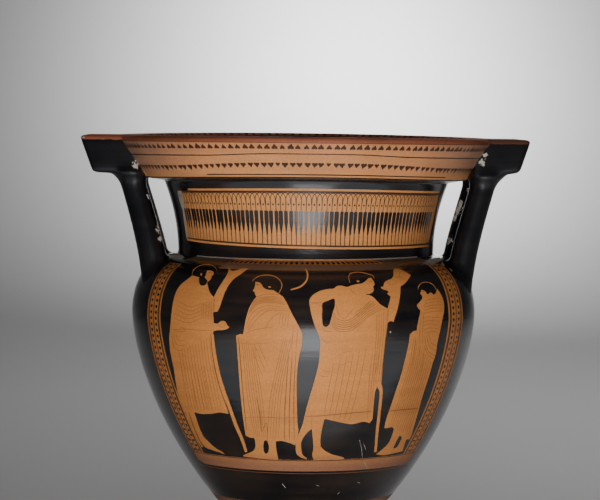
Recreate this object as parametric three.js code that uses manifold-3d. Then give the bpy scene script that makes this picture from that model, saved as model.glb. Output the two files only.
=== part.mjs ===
// A column krater: a wheel-made pottery bowl for mixing wine and water, with a stepped foot,
// a round body, a neck, an overhanging lip and two handles. Each handle is a pair of columns
// under a plate that juts from the lip. It was fired as one piece.
// Millimetres, +Z up. The origin is the middle of the foot's underside, the handles are on X
// and the painted front faces -Y.

import * as THREE from 'three';
import { mergeVertices } from 'three/addons/utils/BufferGeometryUtils.js';
import Module from 'manifold-3d';

const wasm = await Module();
wasm.setup();

// Foot
const footRadius = 79;
const footHeight = 17;
const footBulge = 5;
const footStepRadius = 66;
const footStepHeight = 9;
const footStepBulge = 3;
const restingRingWidth = 15;
const footHollowDepth = 13;

// Body
const stemRadius = 46;
const stemHeight = 12;
const lowerBodyHeight = 212.8;
const lowerBodyFullness = 1.65;
const lowerBodyRound = 1.17;
const bellyRadius = 162.5;
const shoulderHeight = 54.5;
const shoulderFullness = 2.2;

// Neck and lip
const neckRootRadius = 119;
const neckHeight = 73.2;
const neckFlare = 13.5;
const lipOverhang = 23.3;
const lipUndersideRise = 5.8;
const lipHeight = 33.9;
const lipFlare = 22.2;
const rimRound = 3.5;
const rimWidth = 25;

// Walls
const bodyWall = 8;
const neckWall = 9;
const floorThickness = 26;
const floorRound = 8;

// Handles
const plateReach = 32;
const plateWidth = 100;
const plateThickness = 31;
const plateTaper = 2;
const plateSlope = 0.35;
const plateRound = 3;
const columnRadius = 12;
const columnSpacing = 70;
const columnBow = 2;
const columnFlare = 7;
const columnFlareLength = 13;
const leftHandle = { side: -1, columnInset: 21, columnLean: 26 };
const rightHandle = { side: 1, columnInset: 19, columnLean: 29 };

// The rim sank a little in the kiln: towards both handles, and towards the right one most.
const rimSag = 3;
const rimTilt = 1.1;

// Fineness of the round forms
const turnedSides = 56;
const columnSides = 16;
const columnSteps = 10;

// Heights of the levels, from the ground up
const footTop = footHeight + footStepHeight;
const stemTop = footTop + stemHeight;
const bellyLevel = stemTop + lowerBodyHeight;
const neckRoot = bellyLevel + shoulderHeight;
const neckTop = neckRoot + neckHeight;
const lipBottom = neckTop + lipUndersideRise;
const rimTop = lipBottom + lipHeight;

// Radii that follow from the ones above
const neckTopRadius = neckRootRadius + neckFlare;
const lipBottomRadius = neckTopRadius + lipOverhang;
const rimRadius = lipBottomRadius + lipFlare;
const mouthRadius = rimRadius - rimWidth;
const plateBottom = rimTop - plateThickness;

// Points of a stretch of outline: shape(t) gives radius and height for t from 0 to 1.
// The start point is left out, because the stretch before it ends there.
function stretch(steps, shape) {
  const points = [];
  for (let i = 1; i <= steps; i += 1) {
    const [radius, height] = shape(i / steps);
    points.push(new THREE.Vector2(radius, height));
  }
  return points;
}

// A convex moulding between two heights that swells by `bulge` to `radius`.
function moulding(steps, radius, bulge, low, high) {
  return stretch(steps, (t) => {
    const angle = Math.PI * (t - 0.5);
    const height = low + ((high - low) * (1 + Math.sin(angle))) / 2;
    return [radius - bulge + bulge * Math.cos(angle), height];
  });
}

// The bowl below the belly, from its lower end up to the widest ring.
function lowerBody(steps, endRadius, endLevel, widest) {
  return stretch(steps, (t) => {
    const down = (1 - t) ** 1.2;
    const across = (1 - down ** lowerBodyFullness) ** (1 / lowerBodyRound);
    return [endRadius + (widest - endRadius) * across, bellyLevel - (bellyLevel - endLevel) * down];
  });
}

// The shoulder, a rounded quarter from the widest ring up to the root of the neck.
function shoulder(steps, widest, rootRadius, rootLevel) {
  return stretch(steps, (t) => {
    const angle = (t * Math.PI) / 2;
    const across = Math.cos(angle) ** (2 / shoulderFullness);
    const up = Math.sin(angle) ** (2 / shoulderFullness);
    const radius = rootRadius + (widest - rootRadius) * across;
    return [radius, bellyLevel + (rootLevel - bellyLevel) * up];
  });
}

// The height of the shoulder's surface at a radius.
function shoulderLevel(radius) {
  const across = (radius - neckRootRadius) / (bellyRadius - neckRootRadius);
  const share = THREE.MathUtils.clamp(across, 0, 1) ** shoulderFullness;
  return bellyLevel + shoulderHeight * (1 - share) ** (1 / shoulderFullness);
}

// The neck, which flares more and more towards the lip.
function neck(steps, rootRadius, rootLevel, topRadius, topLevel) {
  return stretch(steps, (t) => {
    return [rootRadius + (topRadius - rootRadius) * t ** 2, rootLevel + (topLevel - rootLevel) * t];
  });
}

// A closed body from a three.js geometry.
function solid(geometry) {
  const bare = geometry.clone();
  bare.deleteAttribute('normal');
  bare.deleteAttribute('uv');
  const merged = mergeVertices(bare, 1e-4);
  const index = merged.getIndex().array;
  const triangles = [];
  for (let i = 0; i < index.length; i += 3) {
    const [a, b, c] = [index[i], index[i + 1], index[i + 2]];
    if (a !== b && b !== c && c !== a) {
      triangles.push(a, b, c);
    }
  }
  return new wasm.Manifold(new wasm.Mesh({
    numProp: 3,
    vertProperties: new Float32Array(merged.getAttribute('position').array),
    triVerts: new Uint32Array(triangles),
  }));
}

// A solid of revolution about Z. The outline runs from the axis, outwards, up and back to the axis.
function turned(outline) {
  const geometry = new THREE.LatheGeometry(outline, turnedSides);
  geometry.rotateX(Math.PI / 2);
  return solid(geometry);
}

// The outside of foot, body, neck and lip, closed over the mouth.
function outerForm() {
  const restingInner = footRadius - footBulge - restingRingWidth;
  const coveRadius = footStepRadius - footStepBulge;
  const outline = [
    new THREE.Vector2(0, footHollowDepth),
    new THREE.Vector2(restingInner * 0.8, footHollowDepth * 0.8),
    new THREE.Vector2(restingInner, 0),
    new THREE.Vector2(footRadius - footBulge, 0),
    ...moulding(5, footRadius, footBulge, 0, footHeight),
    new THREE.Vector2(coveRadius, footHeight),
    ...moulding(3, footStepRadius, footStepBulge, footHeight, footTop),
    ...stretch(3, (t) => {
      const angle = (t * Math.PI) / 2;
      const radius = coveRadius - (coveRadius - stemRadius) * Math.sin(angle);
      return [radius, stemTop - stemHeight * Math.cos(angle)];
    }),
    ...lowerBody(12, stemRadius, stemTop, bellyRadius),
    ...shoulder(8, bellyRadius, neckRootRadius, neckRoot),
    ...neck(5, neckRootRadius, neckRoot, neckTopRadius, neckTop),
    new THREE.Vector2(lipBottomRadius - lipUndersideRise / 2, lipBottom - lipUndersideRise / 2),
    new THREE.Vector2(lipBottomRadius, lipBottom),
    new THREE.Vector2(rimRadius - rimRound / 2, rimTop - 2 * rimRound),
    new THREE.Vector2(rimRadius, rimTop - rimRound),
    new THREE.Vector2(rimRadius - rimRound * 0.3, rimTop - rimRound * 0.3),
    new THREE.Vector2(rimRadius - rimRound, rimTop),
    new THREE.Vector2(0, rimTop),
  ];
  return turned(outline);
}

// The hollow inside, which opens through the mouth.
function hollowForm() {
  const floorLevel = footHollowDepth + floorThickness;
  const bowlEndRadius = stemRadius - bodyWall;
  const bowlEndLevel = floorLevel + floorRound;
  const innerRootRadius = neckRootRadius - neckWall;
  const innerRoot = neckRoot - bodyWall;
  const throatRadius = neckTopRadius - neckWall;
  const above = rimTop + rimWidth;
  const outline = [
    new THREE.Vector2(0, floorLevel),
    new THREE.Vector2(bowlEndRadius / 2, floorLevel + floorRound / 4),
    new THREE.Vector2(bowlEndRadius, bowlEndLevel),
    ...lowerBody(9, bowlEndRadius, bowlEndLevel, bellyRadius - bodyWall),
    ...shoulder(6, bellyRadius - bodyWall, innerRootRadius, innerRoot),
    ...neck(4, innerRootRadius, innerRoot, throatRadius, neckTop),
    ...stretch(3, (t) => {
      return [throatRadius + (mouthRadius - throatRadius) * t ** 0.8, neckTop + (rimTop - neckTop) * t];
    }),
    new THREE.Vector2(mouthRadius, above),
    new THREE.Vector2(0, above),
  ];
  return turned(outline);
}

// One column: its foot grows out of the shoulder and its head widens into the plate above.
function column({ side, columnInset, columnLean }, across) {
  const footX = bellyRadius - columnInset;
  const low = shoulderLevel(footX + columnRadius) - bodyWall / 2;
  const high = plateBottom + plateThickness / 3;
  const geometry = new THREE.CylinderGeometry(1, 1, 1, columnSides, columnSteps);
  geometry.rotateX(Math.PI / 2);
  const points = geometry.getAttribute('position');
  for (let i = 0; i < points.count; i += 1) {
    const t = Math.sin(((points.getZ(i) + 0.5) * Math.PI) / 2) ** 1.2;
    const level = low + (high - low) * t;
    const nearPlate = Math.max(0, 1 - Math.abs(plateBottom - level) / columnFlareLength);
    const radius = columnRadius + columnFlare * nearPlate ** 2;
    const lean = columnLean * t ** 1.6 + columnBow * Math.sin(Math.PI * t);
    const x = side * (footX + lean) + radius * points.getX(i);
    points.setXYZ(i, x, across + radius * points.getY(i), level);
  }
  return solid(geometry);
}

// One handle plate: a slab that carries the rim on outwards, cut square across.
function plate({ side }) {
  const start = mouthRadius + plateRound;
  const topEdge = rimRadius + plateReach;
  const bottomEdge = topEdge - plateSlope * (plateThickness - plateTaper);
  const bottomCorner = plateBottom + plateTaper;
  const shape = new THREE.Shape();
  shape.moveTo(start, plateBottom);
  shape.lineTo(bottomEdge - 2 * plateRound, plateBottom + plateTaper / 2);
  shape.quadraticCurveTo(bottomEdge, bottomCorner - plateTaper / 2, bottomEdge + plateSlope * plateRound,
    bottomCorner + plateRound);
  shape.lineTo(topEdge - plateSlope * plateRound, rimTop - plateRound);
  shape.quadraticCurveTo(topEdge, rimTop, topEdge - plateRound, rimTop);
  shape.lineTo(start, rimTop);
  shape.closePath();
  const geometry = new THREE.ExtrudeGeometry(shape, {
    depth: plateWidth,
    bevelEnabled: false,
    curveSegments: 3,
  });
  geometry.translate(0, 0, -plateWidth / 2);
  geometry.rotateX(Math.PI / 2);
  if (side < 0) {
    geometry.rotateZ(Math.PI);
  }
  return solid(geometry);
}

// The whole krater as one solid.
function kraterSolid() {
  let body = outerForm();
  for (const handle of [leftHandle, rightHandle]) {
    body = body.add(plate(handle));
    for (const across of [-columnSpacing / 2, columnSpacing / 2]) {
      body = body.add(column(handle, across));
    }
  }
  return body.subtract(hollowForm());
}

// The sunken rim: nothing below the neck, all of it from the lip upwards.
function sinkRim(positions) {
  for (let i = 0; i < positions.length; i += 3) {
    const [x, y, z] = [positions[i], positions[i + 1], positions[i + 2]];
    const rise = THREE.MathUtils.smoothstep(z, neckRoot, lipBottom);
    const towardsHandle = (x * x) / Math.max(x * x + y * y, 1);
    positions[i + 2] = z - rise * (rimSag * towardsHandle + (rimTilt * x) / rimRadius);
  }
}

function kraterMesh() {
  const { vertProperties, triVerts } = kraterSolid().getMesh();
  const positions = new Float32Array(vertProperties);
  sinkRim(positions);
  const geometry = new THREE.BufferGeometry();
  geometry.setAttribute('position', new THREE.BufferAttribute(positions, 3));
  geometry.setIndex(new THREE.BufferAttribute(new Uint32Array(triVerts), 1));
  geometry.computeVertexNormals();
  const blackGloss = new THREE.MeshStandardMaterial({ color: 0x1c1b1e, roughness: 0.3, metalness: 0 });
  const mesh = new THREE.Mesh(geometry, blackGloss);
  mesh.name = 'krater';
  return mesh;
}

const object = new THREE.Group();
object.add(kraterMesh());

export default object;
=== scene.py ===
import math

import bmesh
import bpy
import numpy as np
from bpy.props import FloatProperty, FloatVectorProperty, IntProperty, PointerProperty
from bpy.types import Operator, Panel, PropertyGroup
from mathutils import Matrix, Vector
from mathutils.geometry import delaunay_2d_cdt


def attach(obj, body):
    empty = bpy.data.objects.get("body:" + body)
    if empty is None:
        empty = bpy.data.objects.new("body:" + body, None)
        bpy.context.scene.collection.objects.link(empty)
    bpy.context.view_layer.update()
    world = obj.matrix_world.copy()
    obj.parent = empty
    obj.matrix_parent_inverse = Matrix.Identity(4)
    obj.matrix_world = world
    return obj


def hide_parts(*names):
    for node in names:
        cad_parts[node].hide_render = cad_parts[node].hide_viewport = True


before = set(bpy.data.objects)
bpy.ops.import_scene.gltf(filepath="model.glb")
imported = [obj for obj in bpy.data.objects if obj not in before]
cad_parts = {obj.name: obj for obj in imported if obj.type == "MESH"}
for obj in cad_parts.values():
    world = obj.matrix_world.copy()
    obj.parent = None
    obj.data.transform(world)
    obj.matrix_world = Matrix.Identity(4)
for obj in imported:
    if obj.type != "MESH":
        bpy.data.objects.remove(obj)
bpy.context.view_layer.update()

bl_info = {
    "name": "Greek column krater",
    "version": (1, 0, 0),
    "blender": (4, 5, 0),
    "location": "View3D > Sidebar > Krater",
    "description": "Builds a painted column krater as one closed piece of pottery",
    "category": "Add Mesh",
}

MM = 0.001

# The order of the material slots, from the ground colour to what is laid over it
FINISHES = ["gloss", "clay", "line", "dilute", "rust", "red", "worn_and_highlight", "crack", "inside", "wash", "handle"]


class KraterSizes(PropertyGroup):
    """The driving dimensions of the pot"""
    foot_radius: FloatProperty(
        name="Foot radius", description="Widest radius of the foot", default=0.079, unit="LENGTH")
    foot_height: FloatProperty(
        name="Foot height", description="Height of the foot disc", default=0.017, unit="LENGTH")
    step_radius: FloatProperty(
        name="Step radius", description="Radius of the step on the foot", default=0.066, unit="LENGTH")
    step_height: FloatProperty(
        name="Step height", description="Height of that step", default=0.009, unit="LENGTH")
    stem_radius: FloatProperty(
        name="Stem radius", description="Narrowest radius under the bowl", default=0.046, unit="LENGTH")
    stem_height: FloatProperty(
        name="Stem height", description="Height of the hollow curve under the bowl",
        default=0.012, unit="LENGTH")
    bowl_height: FloatProperty(
        name="Bowl height", description="From the stem to the widest level", default=0.2128, unit="LENGTH")
    belly_radius: FloatProperty(
        name="Belly radius", description="Widest radius of the body", default=0.1625, unit="LENGTH")
    shoulder_height: FloatProperty(
        name="Shoulder height", description="From the widest level to the neck",
        default=0.0545, unit="LENGTH")
    neck_radius: FloatProperty(
        name="Neck radius", description="Radius at the foot of the neck", default=0.119, unit="LENGTH")
    neck_height: FloatProperty(
        name="Neck height", description="Height of the neck", default=0.0732, unit="LENGTH")
    neck_flare: FloatProperty(
        name="Neck flare", description="How far the neck opens upwards", default=0.0135, unit="LENGTH")
    lip_overhang: FloatProperty(
        name="Lip overhang", description="From the neck out to the lip's lower edge",
        default=0.0233, unit="LENGTH")
    lip_height: FloatProperty(
        name="Lip height", description="Height of the lip's face", default=0.0339, unit="LENGTH")
    lip_flare: FloatProperty(
        name="Lip flare", description="How far the lip's face leans out", default=0.0222, unit="LENGTH")
    rim_width: FloatProperty(
        name="Rim width", description="Width of the flat rim", default=0.025, unit="LENGTH")
    wall: FloatProperty(
        name="Wall", description="Thickness of the body's wall", default=0.008, unit="LENGTH")
    rim_sag: FloatProperty(
        name="Rim sag", description="How far the rim droops at the handles", default=0.0014, unit="LENGTH")
    lip_sag: FloatProperty(
        name="Lip sag", description="How far the lip's lower edge droops there",
        default=0.0044, unit="LENGTH")
    rim_tilt: FloatProperty(
        name="Rim tilt", description="How far the rim leans to the right", default=0.0011, unit="LENGTH")
    column_radius: FloatProperty(
        name="Column radius", description="Radius of a handle's columns", default=0.012, unit="LENGTH")
    column_spacing: FloatProperty(
        name="Column spacing", description="Between a handle's two columns", default=0.07, unit="LENGTH")
    plate_reach: FloatProperty(
        name="Plate reach", description="How far a handle plate stands out from the rim",
        default=0.032, unit="LENGTH")
    plate_width: FloatProperty(
        name="Plate width", description="Width of a handle plate", default=0.1, unit="LENGTH")
    plate_thickness: FloatProperty(
        name="Plate thickness", description="Height of a handle plate", default=0.031, unit="LENGTH")
    turned_sides: IntProperty(
        name="Turned sides", description="Divisions round the pot", default=160, min=48)


class KraterColours(PropertyGroup):
    """The colours of the clay after firing and of its paint"""
    gloss: FloatVectorProperty(
        name="Gloss", description="The black gloss", subtype="COLOR", default=(0.0045, 0.0045, 0.0062))
    clay: FloatVectorProperty(
        name="Clay", description="The reserved clay", subtype="COLOR", default=(0.57, 0.215, 0.054))
    line: FloatVectorProperty(
        name="Line", description="The brown-black painted lines", subtype="COLOR",
        default=(0.055, 0.02, 0.009))
    dilute: FloatVectorProperty(
        name="Dilute", description="The thinned lines of the folds", subtype="COLOR",
        default=(0.21, 0.082, 0.027))
    rust: FloatVectorProperty(
        name="Rust", description="The red-brown lines of the patterns", subtype="COLOR",
        default=(0.17, 0.06, 0.02))
    red: FloatVectorProperty(
        name="Worn red", description="The red-brown edge of the rim", subtype="COLOR",
        default=(0.27, 0.085, 0.045))
    # This pale colour also paints highlights on the neck's left side and at the handle roots
    worn_and_highlight: FloatVectorProperty(
        name="Worn", description="Patches where the gloss is rubbed away", subtype="COLOR",
        default=(0.46, 0.41, 0.36))
    crack: FloatVectorProperty(
        name="Crack", description="The mended break", subtype="COLOR", default=(0.27, 0.09, 0.05))
    wash: FloatVectorProperty(
        name="Wash", description="The brown wash under the tongues", subtype="COLOR",
        default=(0.15, 0.095, 0.066))


def bare_selection():
    """Leaves edit mode and deselects everything"""
    if bpy.context.object and bpy.context.object.mode != "OBJECT":
        bpy.ops.object.mode_set(mode="OBJECT")
    bpy.ops.object.select_all(action="DESELECT")


def smooth_line(points, closed=False, steps=4):
    """A soft curve through the points"""
    p = np.array(points, float)
    count = len(p)
    if count < 3:
        return p
    out = []
    spans = count if closed else count - 1
    for i in range(spans):
        if closed:
            a, b, c, d = p[i - 1], p[i], p[(i + 1) % count], p[(i + 2) % count]
        else:
            a, b, c, d = p[max(i - 1, 0)], p[i], p[i + 1], p[min(i + 2, count - 1)]
        for k in range(steps):
            t = k / steps
            out.append(b + 0.5 * t * (c - a + t * (2 * a - 5 * b + 4 * c - d + t * (3 * (b - c) + d - a))))
    if not closed:
        out.append(p[-1])
    return np.array(out)


def runs(*pieces):
    """One closed outline made of soft curves that meet at corners"""
    parts = []
    for piece in pieces:
        line = smooth_line(piece)
        if parts and np.allclose(parts[-1][-1], line[0]):
            line = line[1:]
        parts.append(line)
    line = np.concatenate(parts)
    if np.allclose(line[0], line[-1]):
        line = line[:-1]
    return line


def dense(points, step, closed=True):
    """The same line with no part longer than the step"""
    p = np.array(points, float)
    out = []
    count = len(p) if closed else len(p) - 1
    for i in range(count):
        a, b = p[i], p[(i + 1) % len(p)]
        parts = max(1, int(math.ceil(np.hypot(*(b - a)) / step)))
        for k in range(parts):
            out.append(a + (b - a) * k / parts)
    if not closed:
        out.append(p[-1])
    return np.array(out)


# How full the shoulder's curve is: 2 would be an ellipse
SHOULDER_FULLNESS = 2.2


def bowl_curve(t):
    """The bowl from the stem (0) to the widest level (1): its share of the width, and how far down it is"""
    down = (1 - t) ** 1.2
    return (1 - down ** 1.65) ** (1 / 1.17), down


def shoulder_curve(degrees):
    """The shoulder from the widest level (0) to the neck (90): its shares of the width and of the height"""
    a = math.radians(degrees)
    return abs(math.cos(a)) ** (2 / SHOULDER_FULLNESS), math.sin(a) ** (2 / SHOULDER_FULLNESS)


def straight(first, last, shares):
    """Points on a straight line between two others"""
    return [(first[0] + (last[0] - first[0]) * t, first[1] + (last[1] - first[1]) * t) for t in shares]


class Profile:
    """The outside of the pot as one line from the resting ring to the mouth"""

    def __init__(self, s):
        self.s = s
        foot_top = s.foot_height + s.step_height
        self.stem_top = foot_top + s.stem_height
        self.belly = self.stem_top + s.bowl_height
        self.neck_root = self.belly + s.shoulder_height
        self.neck_top = self.neck_root + s.neck_height
        self.neck_top_radius = s.neck_radius + s.neck_flare
        self.lip_bottom = self.neck_top + 5.8 * MM
        self.rim_top = self.lip_bottom + s.lip_height - 0.15 * MM
        self.lip_radius = self.neck_top_radius + s.lip_overhang
        self.rim_radius = self.lip_radius + s.lip_flare
        self.mouth_radius = self.rim_radius - s.rim_width
        line = []
        for radius, edge, low, height, count in ((s.foot_radius, 5 * MM, 0, s.foot_height, 11),
                                                 (s.step_radius, 3 * MM, s.foot_height, s.step_height, 7)):
            for turn in np.radians(np.linspace(-90, 90, count)):
                line.append((radius - edge + edge * math.cos(turn), low + height * (1 + math.sin(turn)) / 2))
        for turn in np.radians(np.linspace(10, 90, 7)):
            line.append((63 * MM - 17 * MM * math.sin(turn),
                         self.stem_top - s.stem_height * math.cos(turn)))
        line += [self.bowl(t) for t in np.linspace(0.02, 1, 62)]
        line += [self.shoulder(t) for t in np.linspace(0.04, 1, 22)]
        line += [self.neck(t) for t in np.linspace(0.05, 1, 20)]
        under = (self.lip_radius - 2.9 * MM, self.lip_bottom - 2.9 * MM)
        line += straight((self.neck_top_radius, self.neck_top), under, (0.2, 0.4, 0.6, 0.8, 1))
        rim_corner = (self.rim_radius - 1.75 * MM, self.rim_top - 7 * MM)
        line += straight((self.lip_radius, self.lip_bottom), rim_corner, np.linspace(0, 1, 9))
        for across, down in ((0.3, 5), (0, 3.5), (0.25, 2), (1.05, 1), (2.2, 0.3), (3.5, 0)):
            line.append((self.rim_radius - across * MM, self.rim_top - down * MM))
        flat = (self.rim_radius - 3.5 * MM, self.rim_top)
        line += straight(flat, (self.mouth_radius, self.rim_top), np.linspace(0.14, 1, 8))
        self.radius, self.level = self.soften(line)
        self.rise = len(self.radius)
        throat = np.array([self.throat(t) for t in np.linspace(1, 0.85, 6)[1:]])
        self.radius = np.append(self.radius, throat[:, 0])
        self.level = np.append(self.level, throat[:, 1])
        steps = np.hypot(np.diff(self.radius), np.diff(self.level))
        self.along = np.concatenate(([0.0], np.cumsum(steps)))
        self.length = self.along[-1]
        fine = np.linspace(0, self.length, 1500)
        r = np.interp(fine, self.along, self.radius)
        z = np.interp(fine, self.along, self.level)
        spread = np.hanning(9)
        spread = spread / spread.sum()
        slope_r = np.convolve(np.pad(np.gradient(r), 4, mode="edge"), spread, mode="valid")
        slope_z = np.convolve(np.pad(np.gradient(z), 4, mode="edge"), spread, mode="valid")
        size = np.hypot(slope_r, slope_z)
        self.fine = fine
        self.normal_out = slope_z / size
        self.normal_up = -slope_r / size

    def bowl(self, t):
        s = self.s
        across, down = bowl_curve(t)
        return (s.stem_radius + (s.belly_radius - s.stem_radius) * across, self.belly - s.bowl_height * down)

    def shoulder(self, t):
        s = self.s
        across, up = shoulder_curve(90 * t)
        return (s.neck_radius + (s.belly_radius - s.neck_radius) * across,
                self.belly + s.shoulder_height * up)

    def neck(self, t):
        s = self.s
        return (s.neck_radius + s.neck_flare * t * t, self.neck_root + s.neck_height * t)

    def throat(self, t):
        """The inside of the lip, from the neck's top (0) to the mouth (1)"""
        return (123.5 * MM + (self.mouth_radius - 123.5 * MM) * t ** 0.8,
                self.neck_top + (self.rim_top - self.neck_top) * t)

    def soften(self, line):
        """Cuts every sharp corner of the line into a short soft turn"""
        p = np.array(line)
        out = [p[0]]
        for before, here, after in zip(p[:-2], p[1:-1], p[2:]):
            a, b = here - before, after - here
            turn = abs(math.atan2(a[0] * b[1] - a[1] * b[0], a @ b))
            cut = min(0.8 * MM, np.hypot(*a) * 0.4, np.hypot(*b) * 0.4)
            if turn < 0.35:
                out.append(here)
            else:
                first = here - a / np.hypot(*a) * cut
                last = here + b / np.hypot(*b) * cut
                out += [first, (first + last + 2 * here) / 4, last]
        out.append(p[-1])
        out = np.array(out)
        return out[:, 0], out[:, 1]

    def at_level(self, z):
        return np.interp(z, self.level[:self.rise], self.along[:self.rise])

    def at_rim(self, radius):
        """The place along the line of a radius on the flat rim, or further down the throat"""
        return self.along[self.rise - 1] - (radius - self.mouth_radius)

    def shoulder_level(self, radius):
        share = (radius - self.s.neck_radius) / (self.s.belly_radius - self.s.neck_radius)
        fall = max(0.0, share) ** SHOULDER_FULLNESS
        return self.belly + self.s.shoulder_height * (1 - fall) ** (1 / SHOULDER_FULLNESS)


def sink(s, points, p):
    """How far a point is lowered where the rim droops and leans"""
    t = np.clip((points[:, 2] - p.neck_root) / (p.lip_bottom - p.neck_root), 0, 1)
    share = t * t * (3 - 2 * t)
    sag = np.interp(points[:, 2], (p.lip_bottom + 4 * MM, p.rim_top - 4 * MM), (s.lip_sag, s.rim_sag))
    flat = np.maximum(points[:, 0] ** 2 + points[:, 1] ** 2, 1e-9)
    return share * (sag * points[:, 0] ** 2 / flat + s.rim_tilt * points[:, 0] / p.rim_radius)


# The drawing sheet: its unit is 0.95 mm at the pot's axis, and it is laid on the pot as
# seen by the viewer who stands at the camera
SHEET_UNIT = 0.95 * MM
SHEET_WIDTH = 600
SHEET_HEIGHT = 500
VIEW_DISTANCE = 2.4
VIEW_TURN = math.radians(-1.8)
VIEW_ROLL = math.radians(0.35)
EYE = Vector((-0.0036 + VIEW_DISTANCE * math.sin(VIEW_TURN),
              -VIEW_DISTANCE * math.cos(VIEW_TURN), 0.445))
AIM = Vector((-0.0036, 0, 0.3088))
FOCAL = 2530


def view_axes():
    """The viewer's forward, right and up directions"""
    forward = (AIM - EYE).normalized()
    right = forward.cross(Vector((0, 0, 1))).normalized()
    up = right.cross(forward)
    turned_right = right * math.cos(VIEW_ROLL) + up * math.sin(VIEW_ROLL)
    turned_up = up * math.cos(VIEW_ROLL) - right * math.sin(VIEW_ROLL)
    return forward, turned_right, turned_up


# The unrolled outside is cut open at the right handle; its width in metres is UNROLL times the turn
UNROLL = 0.15
SEAM = math.pi / 2


def seam_angles(sides):
    """The angles of the turned rings, starting and ending at the seam"""
    return SEAM + np.linspace(-2 * math.pi, 0, sides + 1)


class Painting:
    """Areas of paint on the unrolled outside, the later ones over the earlier ones"""

    def __init__(self, profile, sides):
        self.profile = profile
        self.sides = sides
        self.points = []
        self.areas = []
        self.finish = []
        self.turn = 0.0
        forward, right, up = view_axes()
        self.axes = np.array([forward, right, up])

    def add(self, corners, finish, whole=False):
        """One area of paint; one that would cross the seam is left out"""
        p = np.array(corners, float)
        if not whole:
            edge = SEAM * UNROLL - 0.2 * MM
            width = 2 * math.pi * UNROLL - 0.4 * MM
            if p[:, 0].max() > edge or p[:, 0].min() < edge - width or np.ptp(p[:, 0]) > width / 2:
                return
        nxt = np.roll(p, -1, axis=0)
        area = (p[:, 0] * nxt[:, 1] - nxt[:, 0] * p[:, 1]).sum() / 2
        if abs(area) < 1e-10:
            return
        if area < 0:
            p = p[::-1]
        first = len(self.points)
        self.points += [tuple(q) for q in p]
        self.areas.append(list(range(first, first + len(p))))
        self.finish.append(FINISHES.index(finish))

    def place(self, angle, along):
        """Degrees from the front and a place along the profile, as a point of the sheet"""
        turn = np.radians(angle) + self.turn
        turn = (turn - SEAM) % (2 * math.pi) + SEAM - 2 * math.pi
        return np.stack(np.broadcast_arrays(turn * UNROLL, along), -1)

    def ring(self, low, high, finish):
        """A band all the way round, between two places along the profile"""
        turns = seam_angles(self.sides) * UNROLL
        low_row = np.stack((turns, np.full(len(turns), low)), -1)
        high_row = np.stack((turns, np.full(len(turns), high)), -1)
        self.add(np.concatenate((low_row, high_row[::-1])), finish, whole=True)

    def patch(self, corners, finish, step=0.006):
        """A flat patch, given as degrees from the front and metres along the profile"""
        p = np.array([self.place(a, v) for a, v in corners])
        self.add(dense(p, step), finish)

    def ribbon(self, left, right, finish):
        """The area between two edges of a painted line"""
        for i in range(len(left) - 1):
            self.add([right[i], right[i + 1], left[i + 1]], finish)
            self.add([right[i], left[i + 1], left[i]], finish)

    def strip(self, line, width, finish):
        """A painted line through unrolled points"""
        p = np.array(line, float)
        if len(p) < 2:
            return
        way = np.gradient(p, axis=0)
        way = way / np.maximum(np.hypot(way[:, 0], way[:, 1]), 1e-12)[:, None]
        side = np.stack((-way[:, 1], way[:, 0]), -1) * width / 2
        left, right = p + side, p - side
        self.ribbon(left, right, finish)

    def lay(self, drawn):
        """Points of the drawing sheet, laid on the pot as the viewer sees them"""
        q = np.array(drawn, float).reshape(-1, 2)
        forward, right, up = self.axes
        across = (q[:, :1] - SHEET_WIDTH / 2) / FOCAL
        down = (q[:, 1:] - SHEET_HEIGHT / 2) / FOCAL
        ray = forward + across * right - down * up
        eye = np.array(EYE)
        profile = self.profile
        outer = profile.level[:profile.rise], profile.radius[:profile.rise]

        def outside(depth):
            at = eye + ray * depth[:, None]
            return np.hypot(at[:, 0], at[:, 1]) - np.interp(at[:, 2], *outer)

        near = np.full(len(q), VIEW_DISTANCE - 0.2)
        far = near.copy()
        open_rays = np.ones(len(q), bool)
        for depth in np.linspace(VIEW_DISTANCE - 0.2, VIEW_DISTANCE + 0.02, 160):
            here = np.full(len(q), depth)
            inside = (outside(here) < 0) & open_rays
            far[inside] = depth
            open_rays &= ~inside
            near[open_rays] = depth
        far[open_rays] = near[open_rays]
        for _ in range(16):
            middle = (near + far) / 2
            inside = outside(middle) < 0
            far = np.where(inside, middle, far)
            near = np.where(inside, near, middle)
        at = eye + ray * far[:, None]
        angle = np.degrees(np.arctan2(at[:, 0], -at[:, 1]))
        return self.place(angle, self.profile.at_level(at[:, 2]))

    def shape(self, outline, finish):
        """A filled shape drawn on the sheet"""
        self.add(self.lay(dense(outline, 5)), finish)

    def pen(self, line, width=0.6, finish="line", steps=4):
        """A line drawn on the sheet, thinner at both ends"""
        p = dense(smooth_line(line, steps=steps), 4, closed=False)
        way = np.gradient(p, axis=0)
        way = way / np.maximum(np.hypot(way[:, 0], way[:, 1]), 1e-9)[:, None]
        t = np.linspace(0, 1, len(p))
        wide = width * (0.45 + 0.55 * np.sqrt(np.sin(math.pi * np.clip(t, 0.02, 0.98))))
        side = np.stack((-way[:, 1], way[:, 0]), -1) * wide[:, None] / 2
        left, right = self.lay(p + side), self.lay(p - side)
        self.ribbon(left, right, finish)

    def pens(self, lines, width, finish="dilute"):
        """Several lines of the same brush"""
        for line in lines:
            self.pen(line, width, finish)

    def soft_shape(self, outline, finish):
        """A filled shape with a soft outline, drawn on the sheet"""
        self.shape(smooth_line(outline, closed=True), finish)

    def fan(self, first, last, count, width=0.5, finish="dilute", skip_ends=False):
        """Fold lines that change step by step from one guide line to another"""
        a, b = smooth_line(first), smooth_line(last)
        if len(a) != len(b):
            raise ValueError("the two guide lines need the same number of points")
        for i in range(count):
            t = (i + 1) / (count + 1) if skip_ends else i / (count - 1)
            self.pen((a + (b - a) * t)[::2], width, finish)

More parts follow.
